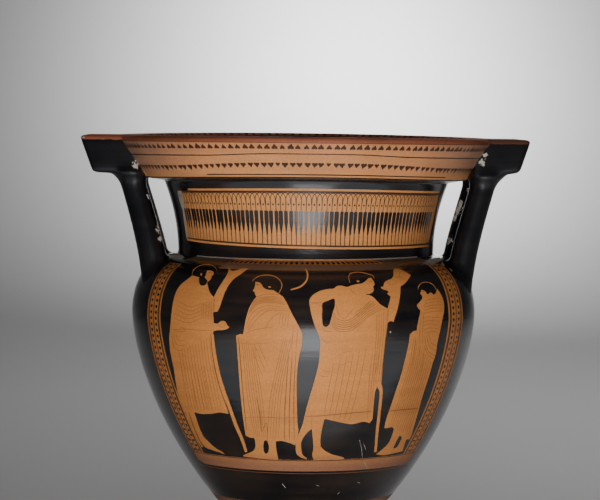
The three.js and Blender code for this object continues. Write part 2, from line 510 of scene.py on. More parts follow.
    def blob(self, centre, wide, high, finish="gloss", sides=10):
        """A round dot drawn on the sheet"""
        turns = np.linspace(0, 2 * math.pi, sides, endpoint=False)
        ring = np.stack((centre[0] + wide * np.cos(turns), centre[1] + high * np.sin(turns)), -1)
        self.add(self.lay(ring), finish)

    def dot(self, angle, along, wide, high, finish="gloss", sides=8):
        """A round dot, placed by degrees from the front and metres along the profile"""
        centre = self.place(angle, along)
        scale = UNROLL / np.interp(along, self.profile.along, self.profile.radius)
        turns = np.linspace(0, 2 * math.pi, sides, endpoint=False)
        ring = np.stack((wide * scale * np.cos(turns), high * np.sin(turns)), -1)
        self.add(centre + ring, finish)

    def leaf(self, angle, along, wide, high, lean=0.0, finish="line"):
        """A small ivy leaf; a negative height turns it over"""
        outline = ((-0.5, 0.1), (-0.46, 0.34), (-0.26, 0.6), (lean, 1), (0.26, 0.6), (0.46, 0.34), (0.5, 0.1),
                   (0.32, -0.05), (0.12, -0.02), (0, 0.06), (-0.12, -0.02), (-0.32, -0.05))
        centre = self.place(angle, along)
        scale = UNROLL / np.interp(along, self.profile.along, self.profile.radius)
        self.add([centre + np.array((x * wide * scale, y * high)) for x, y in outline], finish)

    def mesh(self):
        """The painted outside as points on the sheet, triangles and the finish of each"""
        columns = seam_angles(self.sides) * UNROLL
        rows = self.profile.along
        points = list(self.points)
        border = ([(u, rows[0]) for u in columns] + [(columns[-1], v) for v in rows[1:]]
                  + [(u, rows[-1]) for u in columns[-2::-1]] + [(columns[0], v) for v in rows[-2:0:-1]])
        areas = [list(range(len(points), len(points) + len(border)))] + self.areas
        points += border
        points += [(u, v) for v in rows[1:-1] for u in columns[1:-1]]
        finish = [FINISHES.index("gloss")] + self.finish
        verts, _, faces, _, _, source = delaunay_2d_cdt([Vector(p) for p in points], [], areas, 1, 4e-6, True)
        verts = np.array([tuple(v) for v in verts])
        corners = verts[np.array(faces)]
        one, two = corners[:, 1] - corners[:, 0], corners[:, 2] - corners[:, 0]
        sizes = (one[:, 0] * two[:, 1] - one[:, 1] * two[:, 0]) / 2
        filled = np.zeros(len(areas))
        for size, inputs in zip(sizes, source):
            filled[inputs] += size
        sheet = np.array(points)
        spilt = set()
        for number, area in enumerate(areas):
            a = sheet[area]
            b = np.roll(a, -1, axis=0)
            if filled[number] > 1e-7 + (a[:, 0] * b[:, 1] - b[:, 0] * a[:, 1]).sum() * 0.75:
                spilt.add(number)
        return verts, faces, [finish[max(set(inputs) - spilt, default=0)] for inputs in source]


def draw_speaker(paint):
    """A bearded man in a mantle, turned right, one arm raised, a staff before him"""
    paint.pen([(192, 275), (193.5, 270), (198, 266.5), (204, 264.7), (210, 264.8), (214.5, 266.6),
               (217, 270.5)],
              0.65, "clay")
    mantle = runs(
        [(192.5, 275.3), (187, 279.5), (181, 284.5), (177, 290), (174.3, 297), (172.4, 306), (171.2, 316),
         (170.2, 327), (169.2, 338), (169.8, 348), (171.5, 358), (174, 370), (176, 384), (179.3, 400),
         (184.6, 412)],
        [(184.6, 412), (192.5, 412), (201, 413.8), (211, 413.8), (220, 412.6), (228.5, 414)],
        [(228.5, 414), (225, 400), (220.6, 384), (217, 366), (214.4, 350), (213.4, 340), (213.2, 331.5)],
        [(213.2, 331.5), (217, 330.2), (222, 330.2), (226.5, 329.2), (229.5, 327.2)],
        [(229.5, 327.2), (227.3, 325.2), (226, 322.4), (223, 320.7), (220, 321.6), (217.5, 323.6),
         (213.7, 323.2)],
        [(213.7, 323.2), (213.5, 317.5), (213.4, 312.3), (217.2, 311.6), (219.7, 307), (222.4, 299),
         (225, 292)],
        [(225, 292), (228.2, 286), (232.5, 280.4), (237, 276.6), (241.5, 273.6), (246, 270.2), (249, 268.6)],
        [(249, 268.6), (243, 268.2), (238, 269.7), (233.5, 270.8), (230.4, 269.9), (228.8, 267.8)],
        [(228.8, 267.8), (228.4, 271), (226.5, 275.6), (222, 282.4), (218.2, 288.4), (215.6, 293.4),
         (214, 297)],
        [(214, 297), (211.5, 294.6), (209.2, 291), (208, 286.5), (207.2, 282.4)],
        [(207.2, 282.4), (209.6, 280.6), (211.4, 278), (211.6, 276), (213.6, 274.4), (213.4, 271.6)],
        [(213.4, 271.6), (210.5, 270.4), (207.2, 270.6), (206.4, 273), (205.2, 276), (202.5, 277.8)],
        [(202.5, 277.8), (199, 277.3), (195.5, 276.2), (192.5, 275.3)])
    paint.shape(mantle, "clay")
    beard = [(199.2, 277.6), (203.4, 276.6), (205.6, 278.4), (207.4, 281), (205.6, 284.6), (202, 285.6),
             (199.4, 283.4)]
    paint.soft_shape(beard, "gloss")
    paint.blob((201.2, 274.4), 0.8, 1.5, "clay")
    paint.pen([(208.3, 272.6), (210.2, 272.4), (211.6, 272.9)], 0.5)
    paint.pen([(209.2, 278), (211, 277.7)], 0.45)
    paint.pen([(213.8, 311.8), (213.9, 304), (214.4, 297.4)], 0.55)
    paint.fan([(201.5, 303), (201.8, 309),
               (202.2, 318)], [(211.3, 300), (211.6, 310), (211.9, 321)], 7, 0.45)
    paint.fan([(178.5, 296), (190, 303), (200, 300)],
              [(172.5, 322), (187, 326.5), (203, 321)], 5, 0.4, skip_ends=True)
    paint.pen([(170.6, 329), (177, 329.6), (184, 329), (196, 330), (213, 330.4)], 0.5, "dilute")
    paint.pen([(174, 329.5), (179, 331.6), (184.5, 331.2), (184, 328.2), (179, 327)], 0.45, "dilute")
    paint.fan([(172, 336), (173.5, 346), (178, 350.5), (184.5, 349.5)],
              [(176, 333.5), (177.5, 339), (181, 341), (185, 340)], 3, 0.45)
    paint.fan([(176, 352), (180, 376), (186.4, 409)],
              [(212, 336), (215.4, 366), (224.6, 410)], 12, 0.5, skip_ends=True)
    paint.fan([(188, 372), (190, 390), (194, 410)],
              [(206, 368), (211, 392), (216, 411)], 5, 0.45, skip_ends=True)
    paint.pens([
        [(220.3, 322.4), (222.6, 321.8), (224.8, 323.6), (225, 326.4)],
        [(217.4, 323.8), (220.4, 326.6), (224.6, 327.6)]], 0.45)
    paint.shape(runs([(213.6, 334), (215.2, 348), (217.6, 362), (220.8, 376), (225.4, 391), (231.2, 407),
                      (237.6, 425), (243.2, 438), (247.4, 451.8)],
                     [(247.4, 451.8), (245, 452.4)],
                     [(245, 452.4), (240.2, 438.8), (234.4, 426), (228, 408), (222, 391), (217, 374),
                      (212, 336)]), "clay")
    paint.pen([(210.8, 334), (212, 350), (215, 369), (220, 388), (225.2, 403), (229.2, 413.6)], 0.8)
    paint.shape(runs([(184.8, 411), (187.4, 419), (191.4, 427.5), (195.6, 436.5), (199.4, 443.4),
                      (201.8, 447.2)],
                     [(201.8, 447.2), (203, 446), (198.4, 437.4), (194.8, 429.4), (193, 421),
                      (191.4, 411)]), "clay")
    paint.shape(runs([(188.6, 411), (191.6, 421), (195, 430), (198.6, 437.4), (202.2, 444), (206.8, 448.4)],
                     [(206.8, 448.4), (214, 450.6), (224.6, 454.4)],
                     [(224.6, 454.4), (222.4, 451.8), (215.4, 447.8), (208.4, 441.6), (203.4, 436.4)],
                     [(203.4, 436.4), (199.8, 428.6), (196.6, 419.6), (194, 411.6)]), "clay")
    paint.pen([(188.8, 412), (191.4, 420.4), (194.6, 429), (198.2, 437.2), (202, 444.4), (207, 448.6)], 0.7)


def draw_listener(paint):
    """A young man wrapped to the chin in a mantle, turned left"""
    paint.pen([(252.3, 281.2), (255, 278.4), (259, 276.2), (264, 275.1), (270, 275.2), (275.6, 276.8),
               (279.6, 279.9), (281.8, 284.2), (281.2, 288.6), (278.8, 293.4)], 0.65, "clay")
    mantle = runs(
        [(256.6, 296.6), (253.6, 300.4), (250.4, 305.4), (247.8, 311.8), (245.8, 319.4), (244.4, 327),
         (243.2, 334)],
        [(243.2, 334), (239, 334.4), (236, 335.6)],
        [(236, 335.6), (237, 347), (238, 362), (239.4, 380), (240.8, 398), (242.8, 416), (245.6, 435.4)],
        [(245.6, 435.4), (249.4, 437.4), (254.2, 438)],
        [(254.2, 438), (255.2, 442), (255.3, 446.8), (253.4, 450.8)],
        [(253.4, 450.8), (248.6, 453.2), (243, 455.4), (246, 456.8), (255, 457.8), (266, 459),
         (278.4, 459.8)],
        [(278.4, 459.8), (277.4, 454.4), (276.2, 448.2), (275.8, 441.4)],
        [(275.8, 441.4), (281.6, 441), (289.6, 443), (295, 445.4)],
        [(295, 445.4), (297.4, 437), (298.4, 430.4), (297.3, 421.6), (296.9, 404.9), (296.6, 384.8),
         (297.4, 368), (299, 357), (301.6, 345), (302, 334.6), (300, 328.6), (296.2, 321.6), (291.4, 312.4),
         (286.6, 302.6)],
        [(286.6, 302.6), (283.2, 297), (280.2, 294.8), (277.6, 293)],
        [(277.6, 293), (273, 290.2), (267.4, 289.6), (263.4, 287.4), (261.6, 284.4), (259, 282.2),
         (255.2, 282)],
        [(255.2, 282), (255.3, 284.6), (254.5, 287.6), (253, 290.8), (254.6, 292.2), (255, 294.4),
         (256.6, 296.6)])
    paint.shape(mantle, "clay")
    paint.soft_shape([(264.4, 441), (267.2, 441), (268.9, 446.6), (268.3, 451.8), (266.2, 453.6),
                      (264, 451.6), (263.4, 446)], "gloss")
    paint.blob((269.6, 287), 1.3, 0.8, "clay")
    paint.pen([(255.8, 284.9), (257.4, 284.5), (258.8, 285.1)], 0.5)
    paint.pen([(254.8, 291.9), (256.6, 291.8)], 0.45)
    paint.pen([(257, 296.8), (260.4, 295.6), (265.6, 294), (272, 294.2), (278.6, 294.8)], 0.5, "dilute")
    paint.fan([(251.6, 304.6), (257, 298.8), (265, 297), (274, 296.8), (281.6, 297.6)],
              [(247.6, 316.6), (253.4, 307.4), (262.6, 302.6), (274, 302.6), (285.4, 304.6)], 5, 0.5)
    paint.fan([(246.4, 326), (250, 316.6), (258, 308.4), (269, 305.8), (285.6, 307.4)],
              [(247.6, 331), (253, 324), (260.6, 315.4), (270.4, 310.2), (287.4, 310.8)], 3, 0.5)
    paint.pen([(245, 333.4), (252, 330.6), (262, 328.4), (273, 327)], 0.45, "dilute")
    paint.pen([(266, 328), (268.6, 322), (273, 317), (279.6, 312.6)], 0.55, "dilute")
    paint.fan([(281, 313), (280, 318.6), (279.4, 324.4)],
              [(289.4, 313.2), (288.2, 320), (287.6, 326.6)], 4, 0.45)
    paint.pen([(297.8, 330), (297, 338), (296, 350)], 0.5, "dilute")
    paint.pen([(293.6, 326), (292.8, 336), (291.2, 350)], 0.45, "dilute")
    paint.pen([(238.6, 337), (240.4, 360), (242.8, 392), (246.6, 430)], 0.7)
    paint.fan([(241.6, 338), (244.6, 368), (248, 400), (254.6, 436)],
              [(254.6, 344), (258, 372), (262.6, 402), (265.4, 437)], 7, 0.5)
    paint.fan([(257, 340), (262.6, 354), (268.4, 366)], [(252.6, 350), (257.6, 364), (262.6, 376)], 3, 0.45)
    paint.fan([(283.6, 338), (277, 366), (270.4, 398), (267.4, 437)],
              [(292.6, 336), (285.6, 368), (280.6, 400), (278.4, 439)], 5, 0.5)
    paint.fan([(288.6, 356), (286.4, 384), (284.8, 412), (284.4, 440)],
              [(296, 352), (294.2, 384), (293.8, 412), (294.4, 440)], 3, 0.6, "line")
    paint.pen([(256.6, 398), (260, 414), (261.6, 431)], 0.6)
    paint.pen([(262, 432), (266.6, 423), (267.6, 441)], 0.5)


def draw_leaning_man(paint):
    """A man leaning on a staff, turned right, one arm akimbo and one raised"""
    paint.pen([(349.8, 282.6), (348.7, 277.4), (350, 274), (353.4, 272.5), (360, 272.2), (367, 273.6),
               (372.6, 275.6), (374.4, 278.2)], 0.65, "clay")
    body = runs(
        [(350.8, 285.6), (347, 286.9), (342, 285.7), (337, 286), (333.6, 288.5), (328, 289), (321.6, 290.4),
         (315.8, 293), (311.2, 296.8), (309.4, 300.6), (309.8, 306), (311, 312.6), (312.9, 320),
         (315.4, 327.6), (318.6, 334), (320.6, 341)],
        [(320.6, 341), (320, 351), (318.8, 363), (315.6, 377), (311.4, 391), (307.6, 404), (304.8, 415)],
        [(304.8, 415), (302.8, 423.4), (299.4, 432.2), (296.2, 439.6), (295.6, 446), (296, 451.8),
         (297.6, 455.2), (302, 457.9), (306.8, 459.4)],
        [(306.8, 459.4), (306.4, 457.8), (302.4, 454.2), (301, 446), (302, 440.2), (307.2, 432.6),
         (311.8, 429)],
        [(311.8, 429), (312.8, 438.4), (313.4, 447.8), (312.2, 454.6), (313.6, 459.8)],
        [(313.6, 459.8), (322, 460.2), (334, 459.8), (344.6, 458.8)],
        [(344.6, 458.8), (342, 457), (332.2, 454.4), (325.4, 451), (320.8, 446.8)],
        [(320.8, 446.8), (320.5, 438.4), (322, 428.4), (324.6, 419)],
        [(324.6, 419), (332.2, 420.4), (342.2, 422.8), (352.2, 424.2), (362.2, 421.8), (367.6, 422.4),
         (369.4, 423.2)],
        [(369.4, 423.2), (372, 420), (372.6, 418)],
        [(372.6, 418), (373.6, 405), (375.2, 391.4), (377.4, 387)],
        [(377.4, 387), (380.6, 386), (382, 374.6), (383.2, 358), (385, 343), (386.6, 332), (387.6, 322.8)],
        [(387.6, 322.8), (390.6, 321), (393.5, 322.2)],
        [(393.5, 322.2), (395.4, 316), (398.2, 306.4), (400, 296), (400.6, 286.4)],
        [(400.6, 286.4), (404.6, 283.6), (408.2, 279.4), (410.8, 275.2)],
        [(410.8, 275.2), (406, 272), (400.4, 269.4), (396, 268.4), (393.4, 270.4), (393.6, 275)],
        [(393.6, 275), (391.6, 278.6), (386.6, 280.6), (384, 283.4), (383.4, 286.4), (380.6, 286.8)],
        [(380.6, 286.8), (382.4, 289), (386.6, 290.4), (388.6, 292), (387.4, 293.8), (390.6, 296.4)],
        [(390.6, 296.4), (390, 300), (388.6, 305), (387.6, 308.6)],
        [(387.6, 308.6), (384, 306.6), (379.6, 303.8), (376.2, 300), (373.2, 297.2), (369.8, 295.2),
         (366, 294.4)],
        [(366, 294.4), (369.4, 293.8), (372.6, 292.2), (373.8, 289.4), (373.2, 286.6), (374.6, 284.4),
         (373.2, 280.6), (371.2, 277.8)],
        [(371.2, 277.8), (368.4, 278.2), (365.6, 281), (361.6, 283.4), (356, 284.2), (350.8, 285.6)])
    paint.shape(body, "clay")
    gap = [(322.4, 303.4), (328, 300.6), (333.4, 298.6), (335, 301), (334.6, 307), (332.8, 312),
           (331.6, 317.6), (329.4, 324.4), (326, 326.8), (323, 325.2), (322, 318), (322.2, 310)]
    paint.soft_shape(gap, "gloss")
    paint.blob((358, 281.2), 1.6, 0.9, "clay")
    paint.pen([(366.2, 294.5), (369, 294.4), (372.6, 294.6)], 0.9, "gloss")
    paint.pen([(368.6, 281.9), (370.6, 281.5), (372, 282.1)], 0.5)
    paint.pen([(371.2, 289.8), (373.2, 289.5)], 0.45)
    paint.pens([
        [(311, 302.6), (316, 303), (321.6, 302.6)],
        [(321.6, 326.6), (324.6, 330.4), (329, 331.6), (333, 331)],
        [(321.4, 338), (325, 341.6), (331, 342)]], 0.5)
    paint.pens([
        [(350.6, 288), (352.6, 291.6), (355.6, 294)],
        [(336.6, 305), (337.6, 312), (341, 317), (344.6, 319.4)],
        [(344.6, 319.4), (349, 313.6), (354.6, 307.6)]], 0.45)
    paint.fan([(333.4, 312.6), (336, 317.6), (342, 320.6), (349, 320), (356, 315.6), (363.6, 308.6),
               (371.6, 300)],
              [(331, 322.4), (335, 329.4), (342, 331.6), (350.6, 330.4), (359, 325), (369, 316),
               (384.6, 307.8)],
              6, 0.6)
    paint.fan([(353, 312.6), (359.6, 307.6), (366.6, 301.6)],
              [(358, 318.4), (366.6, 311), (377, 304)], 3, 0.45,
              skip_ends=True)
    paint.fan([(376.6, 314), (376.6, 332), (375, 352), (371.6, 384)],
              [(386, 312), (385.8, 332), (384, 352), (380.4, 382)], 5, 0.5)
    paint.fan([(372.6, 352), (370, 372), (368.4, 396), (367.6, 419)],
              [(379.6, 350), (377, 366), (374, 380), (371.8, 408)], 3, 0.5)
    paint.fan([(334, 362), (330, 382), (326, 404), (324, 417)],
              [(366.4, 346), (362.6, 368), (356.6, 394), (349, 421)],
              6, 0.5)
    paint.fan([(338, 356), (345, 352), (353, 352)], [(341, 366), (348, 362), (355, 362)], 2, 0.4)
    paint.pens([
        [(320.4, 368), (326, 371.4), (332.6, 372)],
        [(319.4, 375.4), (323, 376.6), (328, 376.4)]], 0.45)
    paint.pen([(388.2, 309.4), (387.9, 315), (387.7, 322)], 0.5)
    paint.pens([
        [(391, 296.6), (394, 297.4), (397, 296.6)],
        [(394, 276), (398, 277.4), (402, 276.6)],
        [(386.6, 281.4), (390.6, 284.6), (396.6, 283.6)],
        [(400, 272), (399.4, 276.4), (403.6, 279.6)]], 0.45)
    paint.pen([(311.9, 417), (311.6, 423), (311.9, 429)], 0.5, "dilute")
    paint.shape(runs([(378.2, 386), (381.4, 384.4), (382.6, 389), (382.4, 396), (380.6, 414), (378.4, 433),
                      (376.8, 452)],
                     [(376.8, 452), (374.2, 452.2)],
                     [(374.2, 452.2), (375.6, 433), (377.6, 414), (379.4, 397), (379.4, 391),
                      (377.8, 388.4)]), "clay")


def draw_youth(paint):
    """A youth wrapped in a mantle at the right, turned left"""
    paint.pen([(417.8, 289), (418.8, 286), (421, 283.4), (425.4, 282), (430.6, 283.2), (434.6, 286.6),
               (436.4, 290.6)],
              0.65, "clay")
    mantle = runs(
        [(422.4, 298.4), (419.8, 301.8), (416.8, 305)],
        [(416.8, 305), (418, 308), (420.3, 310.8), (419.2, 317.2), (417.3, 326), (417, 330.6)],
        [(417, 330.6), (413.4, 331.2), (409.8, 334.6)],
        [(409.8, 334.6), (409, 342), (407.2, 350.6), (404.2, 363), (400.4, 377), (395.4, 392), (390.8, 406),
         (386.6, 418), (384.2, 428.4)],
        [(384.2, 428.4), (388.4, 427.8), (392.2, 427.2), (393.8, 429)],
        [(393.8, 429), (392.4, 434), (389.9, 440.4), (386.6, 445.4), (381.6, 450), (375.8, 454.4)],
        [(375.8, 454.4), (384, 455.2), (393, 453.4), (402.6, 451.2)],
        [(402.6, 451.2), (404.6, 444), (406.8, 439.4), (409.2, 439.6)],
        [(409.2, 439.6), (411.8, 433.6), (415, 423), (418.2, 412), (421.4, 400), (425.2, 388),
         (429.2, 375.6), (432.8, 363), (435.8, 354), (437.2, 344), (439.7, 332.4), (442.5, 319.6),
         (444.2, 309.6), (443.8, 301.8), (440.9, 294.2), (437.2, 288.8)],
        [(437.2, 288.8), (435.8, 293.2), (433.4, 294.4), (430.8, 292.4), (427.4, 294.2), (425, 291.2),
         (421.8, 289.6)],
        [(421.8, 289.6), (420.8, 291.6), (420.4, 294), (421.8, 295.4), (422.4, 298.4)])
    paint.shape(mantle, "clay")
    paint.soft_shape([(399.6, 436), (401.8, 437.6), (400, 441.8), (397, 447), (393.4, 448.2), (395.2, 444),
                      (397.6, 439)], "gloss")
    paint.pen([(422, 291.6), (423.4, 291.2), (424.4, 292)], 0.45)
    paint.pen([(421.9, 296.6), (423.2, 296.8)], 0.4)
    paint.fan([(424.6, 301.4), (431, 299), (441.6, 299)], [(423, 314), (431, 311.6), (443, 311)], 5, 0.45)
    paint.fan([(421, 318), (428, 317), (441, 317.6)], [(425, 334), (431, 331.6), (438, 332.6)], 5, 0.45)
    paint.fan([(424.6, 336), (427.6, 350), (435.6, 356)], [(428.6, 334), (431.4, 343), (437, 346)], 3, 0.5)
    paint.pen([(424.6, 346), (427.6, 354), (434.6, 359.6)], 0.5, "dilute")
    paint.fan([(421.6, 312), (420, 326), (419.2, 342)], [(424, 312), (422.6, 328), (422.6, 344)], 2, 0.5)
    paint.fan([(412, 336), (408.6, 360), (398.6, 394), (388.4, 424)],
              [(432.6, 364), (424.6, 390), (416.6, 416), (410, 436)], 11, 0.5, skip_ends=True)
    paint.fan([(416, 336), (414.6, 352), (411.6, 368)], [(424, 346), (423.6, 358), (420.6, 372)], 3, 0.45)


def draw_back_figures(paint):
    """Three plain mantled men on the other side"""
    for shift, face_left in ((232, True), (300, False), (368, True)):
        side = 1 if face_left else -1

        def at(points):
            return [(shift + side * x, y) for x, y in points]

        paint.pen(at([(-9, 283), (-5, 278.4), (2, 276.4), (9, 278), (13, 283), (12, 291)]), 0.9, "clay")
        paint.shape(runs(
            at([(-8, 297), (-14, 304), (-18, 314), (-20, 328), (-21, 350), (-20, 390), (-17, 434)]),
            at([(-17, 434), (-8, 438), (-7, 449), (-17, 455), (8, 456)]),
            at([(8, 456), (7, 440), (20, 437)]),
            at([(20, 437), (22, 392), (23, 352), (22, 326), (19, 308), (12, 294)]),
            at([(12, 294), (4, 291), (-2, 287), (-4, 283), (-7, 283)]),
            at([(-7, 283), (-8, 287), (-10, 291), (-8, 297)])), "clay")
        paint.soft_shape(at([(-1, 440), (2, 440), (3, 447), (1, 451), (-2, 450), (-2, 444)]), "gloss")
        paint.fan(at([(-14, 308), (-6, 300), (10, 299)]), at([(-19, 332), (-8, 318), (18, 312)]), 4, 0.6)
        paint.fan(at([(-17, 336), (-15, 380), (-13, 432)]), at([(17, 330), (17, 380), (16, 434)]), 7, 0.6)
        paint.fan(at([(-12, 342), (2, 352), (16, 342)]), at([(-12, 356), (2, 366), (16, 356)]), 2, 0.6)


def droop(angle, near, far, most):
    """How much lower a painted row lies where it nears the handles, counted from each picture's middle"""
    away = abs((angle + 90) % 180 - 90)
    share = min(1.0, max(0.0, (away - near) / (far - near)))
    return most * share * share * (3 - 2 * share)


def draw_lip(paint, p):
    """The painted face of the lip, the flat rim and the inner edge, all the way round"""
    bottom = p.lip_bottom
    paint.ring(p.at_level(bottom - 1.9 * MM), p.at_level(p.rim_top - 4.5 * MM), "clay")
    paint.ring(p.at_level(p.rim_top - 5.5 * MM), p.at_level(p.rim_top - 4.5 * MM), "rust")
    paint.ring(p.at_level(p.rim_top - 4.5 * MM), p.at_rim(p.mouth_radius - 3.2 * MM), "red")
    edge = p.at_level(bottom + 0.2 * MM)
    paint.strip([paint.place(a, edge) for a in np.linspace(-36, 54, 60)], 1.4 * MM, "line")
    middle = [(a, bottom + 18.8 * MM - droop(a, 12, 34, 1.7 * MM)) for a in np.linspace(90.2, 449.8, 240)]
    paint.strip([paint.place(a, p.at_level(z)) for a, z in middle], 1.2 * MM, "line")
    rng = np.random.default_rng(7)
    count = 160
    for i in range(count):
        angle = 92 + (i + 0.5) * 360 / count + rng.normal(0, 0.12)
        for shift, rise, way, low in ((0, 23.2, 1, 0.3), (0.4, 10.8, -1, 2.4)):
            size = rng.normal(1, 0.08) * MM
            level = bottom + rise * MM - droop(angle, 14, 50, low * MM)
            paint.leaf(angle + shift, p.at_level(level), 5.4 * size, 5.4 * way * size, rng.normal(0, 0.12))
    bars = 120
    for i in range(bars):
        angle = 91 + (i + 0.5) * 360 / bars
        low, high = p.at_rim(p.rim_radius - 8 * MM), p.at_rim(p.mouth_radius - 2.6 * MM)
        paint.patch([(angle - 0.75, low), (angle + 0.75, low), (angle + 0.65, high),
                     (angle - 0.65, high)], "line")


def draw_neck(paint, p, first, last):
    """The chain of buds on the neck between two angles"""
    low, high = p.neck_root + 9.8 * MM, p.neck_top - 7.2 * MM
    slant = 5.2 * MM

    def v(angle, z):
        """The chain's lower edge climbs a little towards the left"""
        share = (high - z) / (high - low)
        across = min(1.0, max(0.0, (last - angle) / (last - first)))
        return p.at_level(z + slant * share * across ** 1.8)

    def band(z0, z1, finish, start=first):
        angles = np.linspace(start, last, 60)
        low_side = [paint.place(a, v(a, z0)) for a in angles]
        high_side = [paint.place(a, v(a, z1)) for a in angles[::-1]]
        paint.add(low_side + high_side, finish)

    def line(points, width, finish="line"):
        paint.strip([paint.place(a, v(a, z)) for a, z in points], width, finish)

    band(low, high - 2.6 * MM, "clay")
    band(high - 2 * MM, high, "clay", first + 10)
    band(low + 2 * MM, low + 3.6 * MM, "line")
    band(high - 3.9 * MM, high - 2.1 * MM, "line", first + 4)
    step = 2.13
    count = int((last - first) / step) - 1
    inset = (last - first - (count - 1) * step) / 2
    top, crown = high - 4 * MM, high - 15 * MM
    bud_top, bud_low, tip = high - 21 * MM, high - 34.5 * MM, high - 42 * MM
    rng = np.random.default_rng(3)
    for i in range(count):
        a = first + inset + i * step + rng.normal(0, 0.09)
        wide = 0.41 * step * rng.normal(1, 0.06)
        fall = rng.normal(0, 0.9) * MM
        paint.add([paint.place(a + x * wide, v(a, z)) for x, z in (
            (-0.85, bud_top), (-1, bud_top - 1.5 * MM), (-1, bud_low + 2 * MM), (-0.8, bud_low),
            (-0.3, tip + fall),
            (0.3, tip + fall), (0.8, bud_low), (1, bud_low + 2 * MM), (1, bud_top - 1.5 * MM),
            (0.85, bud_top))], "gloss")
        line([(a, tip + fall + 0.6 * MM), (a, low + 7 * MM), (a, low + 3.2 * MM)], 1.05 * MM)
        paint.dot(a + step / 2, v(a, crown), 0.9 * MM, 1.1 * MM, "line")
        if i + 2 < count:
            arch = [(a + step * (1 + math.cos(turn)), crown + (top - crown) * math.sin(turn) ** 0.6)
                    for turn in np.radians(np.linspace(180, 0, 11))]
            line([(a, bud_top)] + arch, 0.85 * MM)
        else:
            line([(a, bud_top), (a, crown), (a + 0.1, crown + 6 * MM)], 0.85 * MM)


def draw_tongues(paint, p, first, last, reach):
    """The row of tongues on the shoulder under the neck"""
    outer, inner = p.at_level(298.6 * MM), p.at_level(306.6 * MM)
    middle, high = p.at_level(303.1 * MM), inner - 2.4 * MM
    paint.patch([(-reach, middle), (reach, middle), (reach, inner), (-reach, inner)], "wash")
    paint.patch([(first - 2, outer), (last + 7, outer), (last + 5, middle), (first, middle)], "wash")
    for place, finish, half in ((outer, "rust", last + 5), (middle, "dilute", reach), (inner, "worn_and_highlight", reach)):
        start = first - 1 if half < reach else -reach
        paint.patch([(start, place - 0.5 * MM), (half, place - 0.5 * MM), (half, place + 0.5 * MM),
                     (start, place + 0.5 * MM)], finish)
    paint.patch([(first, middle), (last, middle), (last, inner), (first, inner)], "clay")
    step = 2.1
    for i in range(int((last - first) / step)):
        a = first + (i + 0.5) * step
        low, mid = middle + 0.9 * MM, (middle + high) / 2
        paint.add([paint.place(a + x, v) for x, v in (
            (-0.35, low), (0.35, low), (0.68, mid), (0.5, high), (-0.5, high), (-0.68, mid))], "gloss")


def border_angle(side, share, z, p):
    """Where the upright border lies: a share of 0 is its inner edge and 1 its outer edge"""
    lower = max(0.0, (p.belly - z) / 0.13)
    inner, width = (54.6, 8.7) if side < 0 else (53.8, 10.2)
    return side * (inner - 3.4 * lower + width * share) - 0.8


def draw_border(paint, p, side, low, high):
    """An upright border of two rows of dots between thin lines"""
    levels = np.linspace(low, high, 46)

    def edge_points(share, heights):
        return [paint.place(border_angle(side, share, z, p), p.at_level(z)) for z in heights]

    def line(share, width, finish):
        paint.strip(edge_points(share, levels), width, finish)

    paint.add(edge_points(0, levels) + edge_points(1, levels[::-1]), "clay")
    for share, width, finish in ((0.14, 2.6, "line"), (0.5, 2.2, "rust"), (0.86, 2.6, "line")):
        line(share, width * MM, finish)
    start, stop = p.at_level(low), p.at_level(high)
    count = int((stop - start) / (5.4 * MM))
    for i in range(count):
        along = start + (i + 0.5) * (stop - start) / count
        z = np.interp(along, p.along[:p.rise], p.level[:p.rise])
        for share in (0.32, 0.68):
            paint.dot(border_angle(side, share, z, p), along, 1.9 * MM, 1.6 * MM)


def draw_panel(paint, p):
    """The frame of one picture: borders, tongues and the ground band"""
    low, high = 113.2 * MM, 124.7 * MM
    edge = [border_angle(1, 1, low, p), border_angle(1, 1, high, p)]
    far = [border_angle(-1, 1, high, p), border_angle(-1, 1, low, p)]
    draw_tongues(paint, p, -33, 31, 58)
    for side in (-1, 1):
        draw_border(paint, p, side, low + 2 * MM, p.neck_root - 5 * MM)
    v_low, v_high = p.at_level(low), p.at_level(high)
    paint.patch([(far[1] + 4, v_low), (edge[0] - 4, v_low), (edge[0], v_low + 4 * MM), (edge[1], v_high),
                 (far[0], v_high), (far[1], v_low + 4 * MM)], "clay")
    for shift, width, finish in ((-0.9, 0.9, "line"), (-16.2, 0.8, "rust")):
        place = v_high + shift * MM
        paint.strip([paint.place(a, place) for a in np.linspace(far[0], edge[1], 70)], width * MM, finish)


def draw_rays(paint, p):
    """The reserved zone over the foot with its black rays"""
    low, high = p.at_level(p.stem_top + 4 * MM), p.at_level(80 * MM)
    paint.ring(low, high, "clay")
    paint.ring(high - 1.6 * MM, high - 0.9 * MM, "line")
    count = 28
    for i in range(count):
        angle = 96.5 + i * 360 / count
        paint.patch([(angle - 4.6, low), (angle + 4.6, low), (angle + 0.25, high - 5 * MM),
                     (angle - 0.25, high - 5 * MM)],
                    "gloss")


